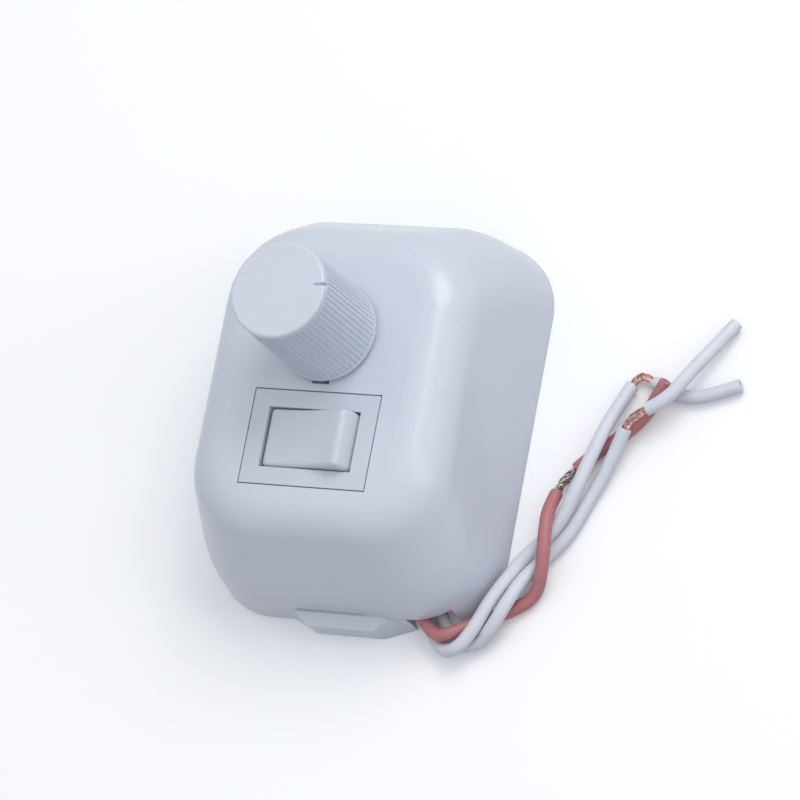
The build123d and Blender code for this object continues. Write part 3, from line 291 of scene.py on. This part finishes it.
# ABS off a polished tool: a cool, even white with a soft gleam along the rounded edges.
shell_abs = moulded_plastic(
    "moulded_white_abs",
    tone="d6dce6",
    shade="d2d8e3",
    speck="aeb2ba",
    gloss=(0.20, 0.30),
    grain_mm=0.35,
    ior=1.54,
)
# The same ABS off a plain tool: a shade greyer and almost matt.
plate_abs = moulded_plastic(
    "moulded_white_abs_plate",
    tone="d2d7e0",
    shade="cdd2dc",
    speck="aeb2ba",
    gloss=(0.40, 0.52),
    grain_mm=0.5,
    ior=1.54,
)
dress("front_cover", shell_abs, edge_mm=0.25, segments=3)
dress("base_plate", plate_abs, edge_mm=0.2)


# Potentiometer: a zinc die-cast bushing with a turned-up lug, clamped to the cover by a plated
# steel washer and nut. Inside it an aluminium shaft turns a phenolic rotor with a bronze wiper
# over a carbon track.
noise_low, noise_high = 0.3, 0.7  # between which a noise lies over nearly all of a surface
wave_period = pi / 10  # of a Wave texture at scale 1
scratch_depth = 0.004 * mm


def machined_metal(name, tone, shade, gloss, blotch_mm, scratch_mm, groove_mm=None, axis="Z"):
    """Plated, rolled or turned metal: cloudy tone and gloss with fine scratches, and a groove as
    deep as half its spacing along an axis, for a thread or for turns of wire. The scratches are
    drawn coarser than the real ones, so that they show."""
    material, tree, shader, place = start_material(name)
    blotch = add_node(
        tree, "ShaderNodeTexNoise", {"Vector": place, "Scale": 1 / (blotch_mm * mm), "Detail": 4.0}
    )
    tones = add_node(
        tree,
        "ShaderNodeMix",
        {"Factor": blotch.outputs["Fac"], colour_a: linear(tone), colour_b: linear(shade)},
        data_type="RGBA",
    )
    tree.links.new(tones.outputs[mixed_colour], shader.inputs["Base Color"])
    shine = add_node(
        tree,
        "ShaderNodeMapRange",
        {
            "Value": blotch.outputs["Fac"],
            "From Min": noise_low,
            "From Max": noise_high,
            "To Min": gloss[0],
            "To Max": gloss[1],
        },
    )
    tree.links.new(shine.outputs["Result"], shader.inputs["Roughness"])
    shader.inputs["Metallic"].default_value = 1.0
    scratch = add_node(
        tree, "ShaderNodeTexNoise", {"Vector": place, "Scale": 1 / (scratch_mm * mm), "Detail": 3.0}
    )
    relief = add_node(
        tree,
        "ShaderNodeBump",
        {"Height": scratch.outputs["Fac"], "Distance": scratch_depth, "Strength": 0.8},
    )
    if groove_mm:
        groove = add_node(
            tree,
            "ShaderNodeTexWave",
            {"Vector": place, "Scale": wave_period / (groove_mm * mm)},
            bands_direction=axis,
        )
        relief = add_node(
            tree,
            "ShaderNodeBump",
            {
                "Height": groove.outputs["Fac"],
                "Distance": groove_mm / 2 * mm,
                "Strength": 1.0,
                "Normal": relief.outputs["Normal"],
            },
        )
    tree.links.new(relief.outputs["Normal"], shader.inputs["Normal"])
    return material


# Die-cast zinc: a dull, cloudy grey, with the nut's thread round the barrel.
zinc_alloy = machined_metal(
    "diecast_zinc_threaded",
    tone="b9bcc0",
    shade="a3a6ab",
    gloss=(0.34, 0.48),
    blotch_mm=4.0,
    scratch_mm=0.3,
    groove_mm=0.75,
)
# Zinc plating on steel: bright and faintly blue, with soft clouds.
plated_steel = machined_metal(
    "zinc_plated_steel",
    tone="c9ccce",
    shade="b3b8ba",
    gloss=(0.22, 0.38),
    blotch_mm=3.0,
    scratch_mm=0.2,
)
# Turned aluminium: pale, bright and nearly even.
aluminium = machined_metal(
    "turned_aluminium",
    tone="d3d5d7",
    shade="c2c4c7",
    gloss=(0.24, 0.36),
    blotch_mm=5.0,
    scratch_mm=0.15,
)
# Hardened spring steel: a darker grey with a sharp gleam.
spring_steel = machined_metal(
    "spring_steel",
    tone="a6a8ab",
    shade="8d8f93",
    gloss=(0.20, 0.32),
    blotch_mm=2.0,
    scratch_mm=0.15,
)
# Phosphor bronze strip: a warm brown gold, clean and bright.
bronze = machined_metal(
    "phosphor_bronze",
    tone="c69a68",
    shade="b08454",
    gloss=(0.24, 0.36),
    blotch_mm=2.0,
    scratch_mm=0.2,
)
# Pressed phenolic: a brownish black with pale filler specks, half matt.
phenolic = moulded_plastic(
    "black_phenolic",
    tone="2b2724",
    shade="3a332e",
    speck="5a5048",
    gloss=(0.38, 0.52),
    grain_mm=0.4,
    ior=1.6,
)
# Printed carbon film: dark brown and dull, with a fine grain.
track_carbon = moulded_plastic(
    "carbon_track",
    tone="4a3526",
    shade="2c2622",
    speck="6a5444",
    gloss=(0.42, 0.58),
    grain_mm=0.3,
    ior=1.55,
)
dress("pot_bushing", zinc_alloy, edge_mm=0.12)
dress("pot_washer", plated_steel, edge_mm=0.08)
dress("pot_nut", plated_steel, edge_mm=0.15)
dress("pot_shaft", aluminium, edge_mm=0.12)
dress("pot_shaft_clip", spring_steel, edge_mm=0.06)
dress("pot_rotor", phenolic, edge_mm=0.1)
dress("pot_wiper", bronze, edge_mm=0.04)
dress("pot_track", track_carbon, edge_mm=0.05)
dress("pot_terminals", plated_steel, edge_mm=0.05)
dress("pot_case", plated_steel, edge_mm=0.2)


# Knob: moulded in the cover's white ABS, with a pointer groove in its plain disc and sixty fine
# grip ribs below a plain band. It is pressed on the shaft, where a spring clip holds it.
dress("knob", shell_abs, edge_mm=0.05)
dress("knob_spring_clip", spring_steel, edge_mm=0.05)


# Rocker switch: a snap-in unit in white polyamide, with a thin bezel and a dished rocker. Inside,
# an acetal plunger and a steel spring tip a bronze bridge with a silver contact rivet, which rocks
# on brass blades.

# Polyamide: a little greyer and waxier than the cover.
switch_pa = moulded_plastic(
    "moulded_white_polyamide",
    tone="d2d8e1",
    shade="ccd2dc",
    speck="aeb2ba",
    gloss=(0.26, 0.38),
    grain_mm=0.3,
    ior=1.53,
)
# Natural acetal: milky white and smooth.
acetal = moulded_plastic(
    "natural_acetal",
    tone="d6d6cf",
    shade="cbccc4",
    speck="a9aaa2",
    gloss=(0.24, 0.36),
    grain_mm=0.3,
    ior=1.48,
)
# Rolled brass: yellow and bright, browner in clouds.
brass = machined_metal(
    "rolled_brass",
    tone="cdb074",
    shade="b99a5e",
    gloss=(0.22, 0.36),
    blotch_mm=3.0,
    scratch_mm=0.2,
)
# Contact silver: the whitest of the metals, with a faint yellow film.
silver = machined_metal(
    "contact_silver",
    tone="d9d8d3",
    shade="bdbbb4",
    gloss=(0.20, 0.34),
    blotch_mm=1.0,
    scratch_mm=0.15,
)
dress("switch_body", switch_pa, edge_mm=0.2, segments=3)
dress("rocker", switch_pa, edge_mm=0.3, segments=3)
dress("rocker_plunger", acetal, edge_mm=0.05)
nodes["rocker_spring"].material_slots[0].material = spring_steel
dress("contact_bridge", bronze, edge_mm=0.05)
dress("contact_point", silver, edge_mm=0.08)
dress("switch_terminals", brass, edge_mm=0.1)


# Circuit board: brown paper phenolic sheet, punched to shape, with lacquered copper tracks at the
# back. Their dark brown is partly the lacquered copper's own colour and partly painted shade, as
# the back lies in shadow behind the notch. It hangs from the cover's bosses by two self-tapping
# screws.
fibre_width = 0.6 * mm
track_spacing = 6.0 * mm
track_height = 0.03 * mm
gap_end, track_start = 0.06, 0.09  # distances from the line between two tracks, in track spacings
back_tilt = -0.5  # the Z of a normal, below which it is on the board's back
lacquer_roughness = 0.42


def board_laminate():
    """Paper phenolic: paper fibres in brown resin in front, and lacquered copper tracks at the back
    in a dark brown that is partly their own colour and partly painted shade.
    """
    material, tree, shader, place = start_material("paper_phenolic_board")
    fibres = add_node(
        tree, "ShaderNodeTexNoise", {"Vector": place, "Scale": 1 / fibre_width, "Detail": 5.0}
    )
    sheet = add_node(
        tree,
        "ShaderNodeMix",
        {"Factor": fibres.outputs["Fac"], colour_a: linear("b08a55"), colour_b: linear("8f6d40")},
        data_type="RGBA",
    )
    cells = add_node(
        tree,
        "ShaderNodeTexVoronoi",
        {"Vector": place, "Scale": 1 / track_spacing},
        feature="DISTANCE_TO_EDGE",
    )
    copper_share = add_node(
        tree,
        "ShaderNodeMapRange",
        {"Value": cells.outputs["Distance"], "From Min": gap_end, "From Max": track_start},
    )
    # The back's colours, for the gaps and the tracks: lacquered copper, painted darker as shade.
    tracks = add_node(
        tree,
        "ShaderNodeMix",
        {
            "Factor": copper_share.outputs["Result"],
            colour_a: linear("5f482e"),
            colour_b: linear("8a6442"),
        },
        data_type="RGBA",
    )
    # Front or back: the back gets the dark browns, which are partly painted shade.
    facing = add_node(tree, "ShaderNodeNewGeometry").outputs["Normal"]
    tilt = add_node(tree, "ShaderNodeSeparateXYZ", {"Vector": facing}).outputs["Z"]
    back = add_node(tree, "ShaderNodeMath", {0: tilt, 1: back_tilt}, operation="LESS_THAN")
    tones = add_node(
        tree,
        "ShaderNodeMix",
        {
            "Factor": back.outputs["Value"],
            colour_a: sheet.outputs[mixed_colour],
            colour_b: tracks.outputs[mixed_colour],
        },
        data_type="RGBA",
    )
    tree.links.new(tones.outputs[mixed_colour], shader.inputs["Base Color"])
    shader.inputs["Roughness"].default_value = lacquer_roughness
    relief = add_node(
        tree,
        "ShaderNodeBump",
        {"Height": copper_share.outputs["Result"], "Distance": track_height, "Strength": 0.5},
    )
    tree.links.new(relief.outputs["Normal"], shader.inputs["Normal"])
    return material


# A plated steel screw: as the potentiometer's nut, with a thread along it.
thread_steel = machined_metal(
    "zinc_plated_steel_thread",
    tone="c6c9cb",
    shade="aeb2b5",
    gloss=(0.25, 0.40),
    blotch_mm=2.0,
    scratch_mm=0.2,
    groove_mm=0.7,
)
dress("circuit_board", board_laminate(), edge_mm=0.08)
dress("board_screws", thread_steel, edge_mm=0.1)


# Triac: black epoxy moulded on a tinned tab, with three tinned legs soldered to the board. It lies
# on a folded aluminium heat sink, held by a screw and nut.

# Moulded epoxy: a soft, nearly matt black.
epoxy = moulded_plastic(
    "black_epoxy",
    tone="242526",
    shade="2e2f31",
    speck="4a4b4d",
    gloss=(0.40, 0.55),
    grain_mm=0.25,
    ior=1.6,
)
# Aluminium sheet as rolled: pale and half bright, with wide soft clouds.
sheet_aluminium = machined_metal(
    "sheet_aluminium",
    tone="cdd0d3",
    shade="babdc1",
    gloss=(0.30, 0.44),
    blotch_mm=6.0,
    scratch_mm=0.25,
)
# Dipped tin: a plain grey white, slightly uneven.
tin = machined_metal(
    "tinned_legs",
    tone="c8c9c8",
    shade="a9aaaa",
    gloss=(0.28, 0.42),
    blotch_mm=1.5,
    scratch_mm=0.2,
)
dress("triac", epoxy, edge_mm=0.15)
dress("triac_legs", tin, edge_mm=0.06)
dress("heat_sink", sheet_aluminium, edge_mm=0.12)
dress("heat_sink_screw", thread_steel, edge_mm=0.15)
dress("heat_sink_nut", plated_steel, edge_mm=0.12)


# Small components: a film capacitor in a flame-proof box and a dipped one, two carbon film
# resistors with colour rings, a glass diac, and the choke, enamelled copper wound on a ferrite
# rod. Their tinned legs are soldered to the board.
ring_share = 0.07  # a painted ring's width, as a share of the body's length
run_width = 1.2 * mm
run_depth = 0.03 * mm


def ringed_body(name, body, rings, middle_x, length_mm):
    """Lacquer, glossy and a little runny, with rings painted at shares of the length on X."""
    material, tree, shader, place = start_material(name)
    along_x = add_node(tree, "ShaderNodeSeparateXYZ", {"Vector": place}).outputs["X"]
    share = add_node(
        tree,
        "ShaderNodeMapRange",
        {
            "Value": along_x,
            "From Min": middle_x - length_mm / 2 * mm,
            "From Max": middle_x + length_mm / 2 * mm,
        },
    )
    paint = add_node(tree, "ShaderNodeValToRGB", {"Fac": share.outputs["Result"]})
    paint.color_ramp.interpolation = "CONSTANT"
    paint.color_ramp.elements[0].color = linear(body)
    paint.color_ramp.elements.remove(paint.color_ramp.elements[1])
    for start, colour in rings:
        paint.color_ramp.elements.new(start).color = linear(colour)
        paint.color_ramp.elements.new(start + ring_share).color = linear(body)
    tree.links.new(paint.outputs["Color"], shader.inputs["Base Color"])
    runs = add_node(
        tree, "ShaderNodeTexNoise", {"Vector": place, "Scale": 1 / run_width, "Detail": 3.0}
    )
    gloss = add_node(
        tree, "ShaderNodeMapRange", {"Value": runs.outputs["Fac"], "To Min": 0.22, "To Max": 0.40}
    )
    tree.links.new(gloss.outputs["Result"], shader.inputs["Roughness"])
    relief = add_node(
        tree,
        "ShaderNodeBump",
        {"Height": runs.outputs["Fac"], "Distance": run_depth, "Strength": 0.6},
    )
    tree.links.new(relief.outputs["Normal"], shader.inputs["Normal"])
    return material


def middle_of(node):
    """The X of the middle of a CAD node's box, in its own coordinates."""
    corners = [corner[0] for corner in nodes[node].bound_box]
    return (min(corners) + max(corners)) / 2


# Resistor lacquer: a sandy body with four narrow rings.
resistor_paint = ringed_body(
    "lacquered_resistor",
    body="c9a877",
    rings=((0.18, "6b3f2a"), (0.32, "2a2a2c"), (0.46, "c2762e"), (0.76, "b08d3a")),
    middle_x=middle_of("resistors"),
    length_mm=6.3,
)
# Painted diac glass: blue, with a dark band at each end.
diac_glass = ringed_body(
    "glass_diac",
    body="3f6f96",
    rings=((0.10, "1f2a36"), (0.84, "1f2a36")),
    middle_x=middle_of("diac"),
    length_mm=4.0,
)
# The capacitor's moulded box: brick red and satin.
film_box = moulded_plastic(
    "red_film_capacitor_box",
    tone="9c2f28",
    shade="8a2722",
    speck="6d2a26",
    gloss=(0.30, 0.42),
    grain_mm=0.5,
    ior=1.5,
)
# Dipped epoxy: ochre and glossy, a little lumpy.
dip_coat = moulded_plastic(
    "ochre_epoxy_dip",
    tone="b5762c",
    shade="a4681f",
    speck="7d5a30",
    gloss=(0.24, 0.36),
    grain_mm=0.6,
    ior=1.55,
)
# Sintered ferrite: a dull dark grey, dry and fine-grained.
ferrite = moulded_plastic(
    "sintered_ferrite",
    tone="3a3b3e",
    shade="2e2f32",
    speck="55565a",
    gloss=(0.48, 0.62),
    grain_mm=0.2,
    ior=1.8,
)
# Enamelled copper: a deep red brown with a bright line on each turn.
enamel = machined_metal(
    "enamelled_copper_turns",
    tone="b5643a",
    shade="9a4f2c",
    gloss=(0.20, 0.32),
    blotch_mm=3.0,
    scratch_mm=0.4,
    groove_mm=0.55,
    axis="X",
)
dress("resistors", resistor_paint, edge_mm=0.5, segments=3)
dress("diac", diac_glass, edge_mm=0.3, segments=3)
dress("filter_capacitor", film_box, edge_mm=0.25)
dress("timing_capacitor", dip_coat, edge_mm=0.6, segments=3)
dress("choke_core", ferrite, edge_mm=0.2)
dress("choke_winding", enamel, edge_mm=0.2)
dress("component_legs", tin, edge_mm=0.05)


# Leads: three stranded wires in soft PVC, one red and two white, from the switch and the board.
# They come out of the notch in the lower right corner, twisted loosely over each other, and are
# stripped: bare copper shows for a few millimetres, and a cut slug is left on each tip.
lead_diameter = 2.1 * mm
red_lead_length = 36.9 * mm
white_lead_a_length = 58.2 * mm
white_lead_b_length = 48.3 * mm
sleeve_sides = 28
sleeve_unevenness = 0.02
sleeve_swell_length = 2.5 * mm
sleeve_lip = 0.08 * mm
lip_shoulder = 0.3  # share of the lip at which its rounding has its shoulder
sleeve_bore = 0.6 * mm
sleeve_bore_depth = 0.5 * mm
strand_radius = 0.115 * mm
strand_layers = (1, 6, 12)
strand_lay = 6.0 * mm
stray_step = 2.4  # radians from one strand's share of the spread to the next one's
red_stray, white_a_stray, white_b_stray = 0.55, 0.15, 0.25  # spread, in shares of their radius
route_order = 3
route_steps = 24
patch_width = 3.0 * mm
mark_width = 0.8 * mm
drag_width = 0.5 * mm
drag_depth = 0.02 * mm
tarnish_width = 0.6 * mm


def soft_pvc(name, tone, shade, scuff):
    """Extruded soft PVC: a dull, uneven gloss, light soaking in a little, and grey handling marks.
    The die's drag marks are drawn coarser than the real ones, so that they show."""
    material, tree, shader, place = start_material(name)
    patches = add_node(
        tree, "ShaderNodeTexNoise", {"Vector": place, "Scale": 1 / patch_width, "Detail": 4.0}
    )
    tones = add_node(
        tree,
        "ShaderNodeMix",
        {"Factor": patches.outputs["Fac"], colour_a: linear(tone), colour_b: linear(shade)},
        data_type="RGBA",
    )
    marks = add_node(
        tree, "ShaderNodeTexNoise", {"Vector": place, "Scale": 1 / mark_width, "Detail": 6.0}
    )
    share = add_node(
        tree,
        "ShaderNodeMapRange",
        {"Value": marks.outputs["Fac"], "From Min": 0.55, "From Max": 0.80, "To Max": 0.4},
    )
    scuffed = add_node(
        tree,
        "ShaderNodeMix",
        {
            "Factor": share.outputs["Result"],
            colour_a: tones.outputs[mixed_colour],
            colour_b: linear(scuff),
        },
        data_type="RGBA",
    )
    tree.links.new(scuffed.outputs[mixed_colour], shader.inputs["Base Color"])
    gloss = add_node(
        tree,
        "ShaderNodeMapRange",
        {
            "Value": marks.outputs["Fac"],
            "From Min": noise_low,
            "From Max": noise_high,
            "To Min": 0.34,
            "To Max": 0.50,
        },
    )
    tree.links.new(gloss.outputs["Result"], shader.inputs["Roughness"])
    shader.inputs["IOR"].default_value = 1.53
    shader.inputs["Subsurface Weight"].default_value = 0.12
    shader.inputs["Subsurface Scale"].default_value = 0.4 * mm
    drag = add_node(
        tree, "ShaderNodeTexNoise", {"Vector": place, "Scale": 1 / drag_width, "Detail": 3.0}
    )
    relief = add_node(
        tree,
        "ShaderNodeBump",
        {"Height": drag.outputs["Fac"], "Distance": drag_depth, "Strength": 1.0},
    )
    tree.links.new(relief.outputs["Normal"], shader.inputs["Normal"])
    return material


def drawn_wire(name, glint, tarnished):
    """Fine drawn wire, cut by hand: bright glints, with darker tarnish in spots between them."""
    material, tree, shader, place = start_material(name)
    tarnish = add_node(
        tree, "ShaderNodeTexNoise", {"Vector": place, "Scale": 1 / tarnish_width, "Detail": 4.0}
    )
    tones = add_node(tree, "ShaderNodeValToRGB", {"Fac": tarnish.outputs["Fac"]})
    dark, bright = tones.color_ramp.elements
    dark.position, dark.color = 0.35, linear(tarnished)
    bright.position, bright.color = 0.62, linear(glint)
    tree.links.new(tones.outputs["Color"], shader.inputs["Base Color"])
    gloss = add_node(
        tree,
        "ShaderNodeMapRange",
        {"Value": tarnish.outputs["Fac"], "To Min": 0.45, "To Max": 0.22},
    )
    tree.links.new(gloss.outputs["Result"], shader.inputs["Roughness"])
    shader.inputs["Metallic"].default_value = 1.0
    return material


def route_line(route):
    """Points along a route's smooth line, read from its NURBS spline, which has no bevel."""
    data = bpy.data.curves.new("line", "CURVE")
    data.dimensions = "3D"
    data.resolution_u = route_steps
    spline = data.splines.new("NURBS")
    spline.points.add(len(route) - 1)
    for point, place in zip(spline.points, route):
        point.co = (place[0] * mm, place[1] * mm, place[2] * mm, 1.0)
    spline.order_u = route_order
    spline.use_endpoint_u = True
    line = bpy.data.objects.new("line", data)
    mesh = bpy.data.meshes.new_from_object(line)
    points = [vertex.co.copy() for vertex in mesh.vertices]
    bpy.data.meshes.remove(mesh)
    bpy.data.objects.remove(line)
    bpy.data.curves.remove(data)
    return points


def along(points):
    """Frames along a line, turned as little as possible: a list of (point, across, up, ahead)."""
    ahead = [(after - before).normalized() for before, after in zip(points, points[1:])]
    ahead.append(ahead[-1])
    across = ahead[0].orthogonal().normalized()
    frames = []
    for point, heading in zip(points, ahead):
        across = (across - heading * across.dot(heading)).normalized()
        frames.append((point, across, heading.cross(across), heading))
    return frames


def ring(place, across, up, radius):
    """Points of one circle of a sleeve about a place."""
    turns = [2 * pi * side / sleeve_sides for side in range(sleeve_sides)]
    return [place + (across * cos(turn) + up * sin(turn)) * radius for turn in turns]


def mesh_of_rings(name, rings):
    """A closed mesh of rings joined in order, with a flat cap on both ends."""
    mesh = bpy.data.meshes.new(name)
    sides = len(rings[0])
    points = [point for one in rings for point in one]
    faces = []
    for row in range(len(rings) - 1):
        here, there = row * sides, (row + 1) * sides
        faces += [
            (here + side, here + (side + 1) % sides, there + (side + 1) % sides, there + side)
            for side in range(sides)
        ]
    faces.append(tuple(reversed(range(sides))))
    faces.append(tuple(range(len(points) - sides, len(points))))
    mesh.from_pydata(points, [], faces)
    mesh.validate()
    mesh.shade_smooth()
    return mesh


def insulation(name, points):
    """A PVC sleeve round a line: slightly uneven, with its cut ends rounded about a bore."""
    frames = along(points)
    outer = lead_diameter / 2
    rings = []
    for place, across, up, _ in frames[1:-1]:
        radius = outer * (1 + sleeve_unevenness * noise(place / sleeve_swell_length))
        rings.append(ring(place, across, up, radius))
    for end, outward in ((0, -1), (-1, 1)):
        place, across, up, ahead = frames[end]
        lip = []
        for back, radius in (
            (sleeve_lip, outer),
            (sleeve_lip * lip_shoulder, outer - sleeve_lip * lip_shoulder),
            (0.0, outer - sleeve_lip),
            (0.0, sleeve_bore),
            (sleeve_bore_depth, sleeve_bore),
        ):
            lip.append(ring(place - ahead * outward * back, across, up, radius))
        rings = rings + lip if outward > 0 else lip[::-1] + rings
    return mesh_of_rings(name, rings)


def twisted_strands(name, points, stray):
    """Bare strands twisted about a line, one unbroken wire each, spread in the middle."""
    frames = along(points)
    data = bpy.data.curves.new(name, "CURVE")
    data.dimensions = "3D"
    data.bevel_depth = strand_radius
    data.bevel_resolution = 3
    data.use_fill_caps = True
    strands = [
        (layer, strand / count)
        for layer, count in enumerate(strand_layers)
        for strand in range(count)
    ]
    for strand, (layer, share_round) in enumerate(strands):
        radius = 2 * layer * strand_radius
        start = 2 * pi * share_round
        spline = data.splines.new("POLY")
        spline.points.add(len(frames) - 1)
        gone = 0.0
        for index, (place, across, up, _) in enumerate(frames):
            if index:
                gone += (place - frames[index - 1][0]).length
            share = index / (len(frames) - 1)
            spread = 1 + stray * sin(pi * share) * (1 + sin(strand * stray_step)) / 2
            turn = start + 2 * pi * gone / strand_lay
            spot = place + (across * cos(turn) + up * sin(turn)) * radius * spread
            spline.points[index].co = (*spot, 1.0)
    return data


def add_piece(data, material, replaced):
    """Links a mesh or curve as a piece that rides on the root body and stands for a CAD node."""
    piece = bpy.data.objects.new(data.name, data)
    bpy.context.scene.collection.objects.link(piece)
    data.materials.append(material)
    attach(piece, "root")
    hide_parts(replaced)
    return piece


def beyond(route, distance):
    """Point past the end of a route, in line with its last run."""
    last = Vector(route[-1])
    return tuple(last + (last - Vector(route[-2])).normalized() * distance)


# Routes, in millimetres: each lead as it lies in the photograph, then its strands and its slug.
red_lead_route = (
    (14.6, -31.3, 3.6),
    (16.0, -32.9, 3.6),
    (18.2, -32.9, 3.8),
    (20.5, -31.3, 2.8),
    (23.6, -29.2, 1.2),
    (27.6, -27.4, 1.2),
    (30.9, -24.9, 1.2),
    (32.2, -20.8, 4.2),
    (31.9, -16.0, 5.0),
    (31.4, -11.8, 4.2),
    (31.7, -8.8, 2.6),
)
red_strands_route = (red_lead_route[-1], beyond(red_lead_route, 2.9), (33.6, -4.4, 1.2))
red_slug_route = (
    red_strands_route[-1],
    beyond(red_strands_route, 3.2),
    (40.9, 2.0, 1.2),
    (43.6, 5.0, 1.4),
    (45.3, 7.3, 2.9),
    (46.9, 9.8, 3.9),
)
white_lead_a_route = (
    (14.2, -31.2, 1.2),
    (15.7, -33.5, 1.2),
    (17.9, -35.2, 2.2),
    (20.7, -34.8, 3.9),
    (22.8, -31.4, 4.0),
    (24.5, -27.0, 3.9),
    (26.4, -23.0, 3.2),
    (28.0, -19.6, 2.4),
    (30.6, -16.6, 2.3),
    (33.2, -13.4, 2.7),
    (35.0, -9.2, 3.8),
    (36.4, -4.2, 3.9),
    (37.8, 0.9, 3.6),
    (38.9, 5.3, 2.3),
    (40.4, 9.6, 1.3),
)
white_strands_a_route = (
    white_lead_a_route[-1],
    beyond(white_lead_a_route, 1.2),
    (42.2, 11.4, 1.2),
    (43.8, 10.4, 1.2),
)
white_slug_a_route = (
    white_strands_a_route[-1],
    beyond(white_strands_a_route, 2.4),
    (49.2, 8.3, 1.2),
    (53.0, 8.6, 1.2),
    (58.0, 10.7, 1.2),
)
white_lead_b_route = (
    (16.9, -31.0, 1.2),
    (18.1, -32.8, 1.2),
    (20.3, -33.6, 1.2),
    (23.2, -33.3, 1.5),
    (25.9, -30.4, 3.9),
    (27.4, -26.8, 3.9),
    (28.7, -23.0, 3.0),
    (30.8, -19.4, 1.2),
    (34.4, -15.1, 1.2),
    (36.5, -9.4, 1.2),
    (39.0, -4.2, 1.8),
    (41.5, 1.9, 3.8),
)
white_strands_b_route = (
    white_lead_b_route[-1],
    beyond(white_lead_b_route, 2.0),
    (44.8, 4.9, 4.7),
)
white_slug_b_route = (
    white_strands_b_route[-1],
    beyond(white_strands_b_route, 3.4),
    (50.6, 11.4, 4.2),
    (53.0, 16.0, 2.4),
    (55.6, 20.6, 1.2),
)

# Soft PVC: a faded, pinkish red, and a white that is cooler and paler than the cover's.
red_pvc = soft_pvc("red_soft_pvc", tone="c07d7e", shade="b06f72", scuff="9a8184")
white_pvc = soft_pvc("white_soft_pvc", tone="e0e3eb", shade="d6d9e3", scuff="b8bac4")
# Copper strands: bare and pink on the white leads, tinned and a brownish grey on the red one.
copper = drawn_wire("bare_copper_strand", glint="e3bdb6", tarnished="9c6c68")
tinned_copper = drawn_wire("tinned_copper_strand", glint="d2c8c2", tarnished="7c716c")

red_routes = (red_lead_route, red_strands_route, red_slug_route)
white_a_routes = (white_lead_a_route, white_strands_a_route, white_slug_a_route)
white_b_routes = (white_lead_b_route, white_strands_b_route, white_slug_b_route)
for colour, letter, routes, length, pvc, wire, stray in (
    ("red", "", red_routes, red_lead_length, red_pvc, tinned_copper, red_stray),
    ("white", "_a", white_a_routes, white_lead_a_length, white_pvc, copper, white_a_stray),
    ("white", "_b", white_b_routes, white_lead_b_length, white_pvc, copper, white_b_stray),
):
    lead_node, strands_node, slug_node = (
        f"{colour}_{part}{letter}" for part in ("lead", "strands", "slug")
    )
    lead_line, strands_line, slug_line = (route_line(route) for route in routes)
    lead = add_piece(insulation(f"{lead_node}_sleeve", lead_line), pvc, lead_node)
    slug = add_piece(insulation(f"{slug_node}_sleeve", slug_line), pvc, slug_node)
    strands_curve = twisted_strands(f"{strands_node}_wire", strands_line, stray)
    strands = add_piece(strands_curve, wire, strands_node)
for wire_node, pvc in (
    ("red_lead_inner", red_pvc),
    ("white_lead_a_inner", white_pvc),
    ("white_lead_b_inner", white_pvc),
    ("switch_wire", white_pvc),
):
    nodes[wire_node].material_slots[0].material = pvc
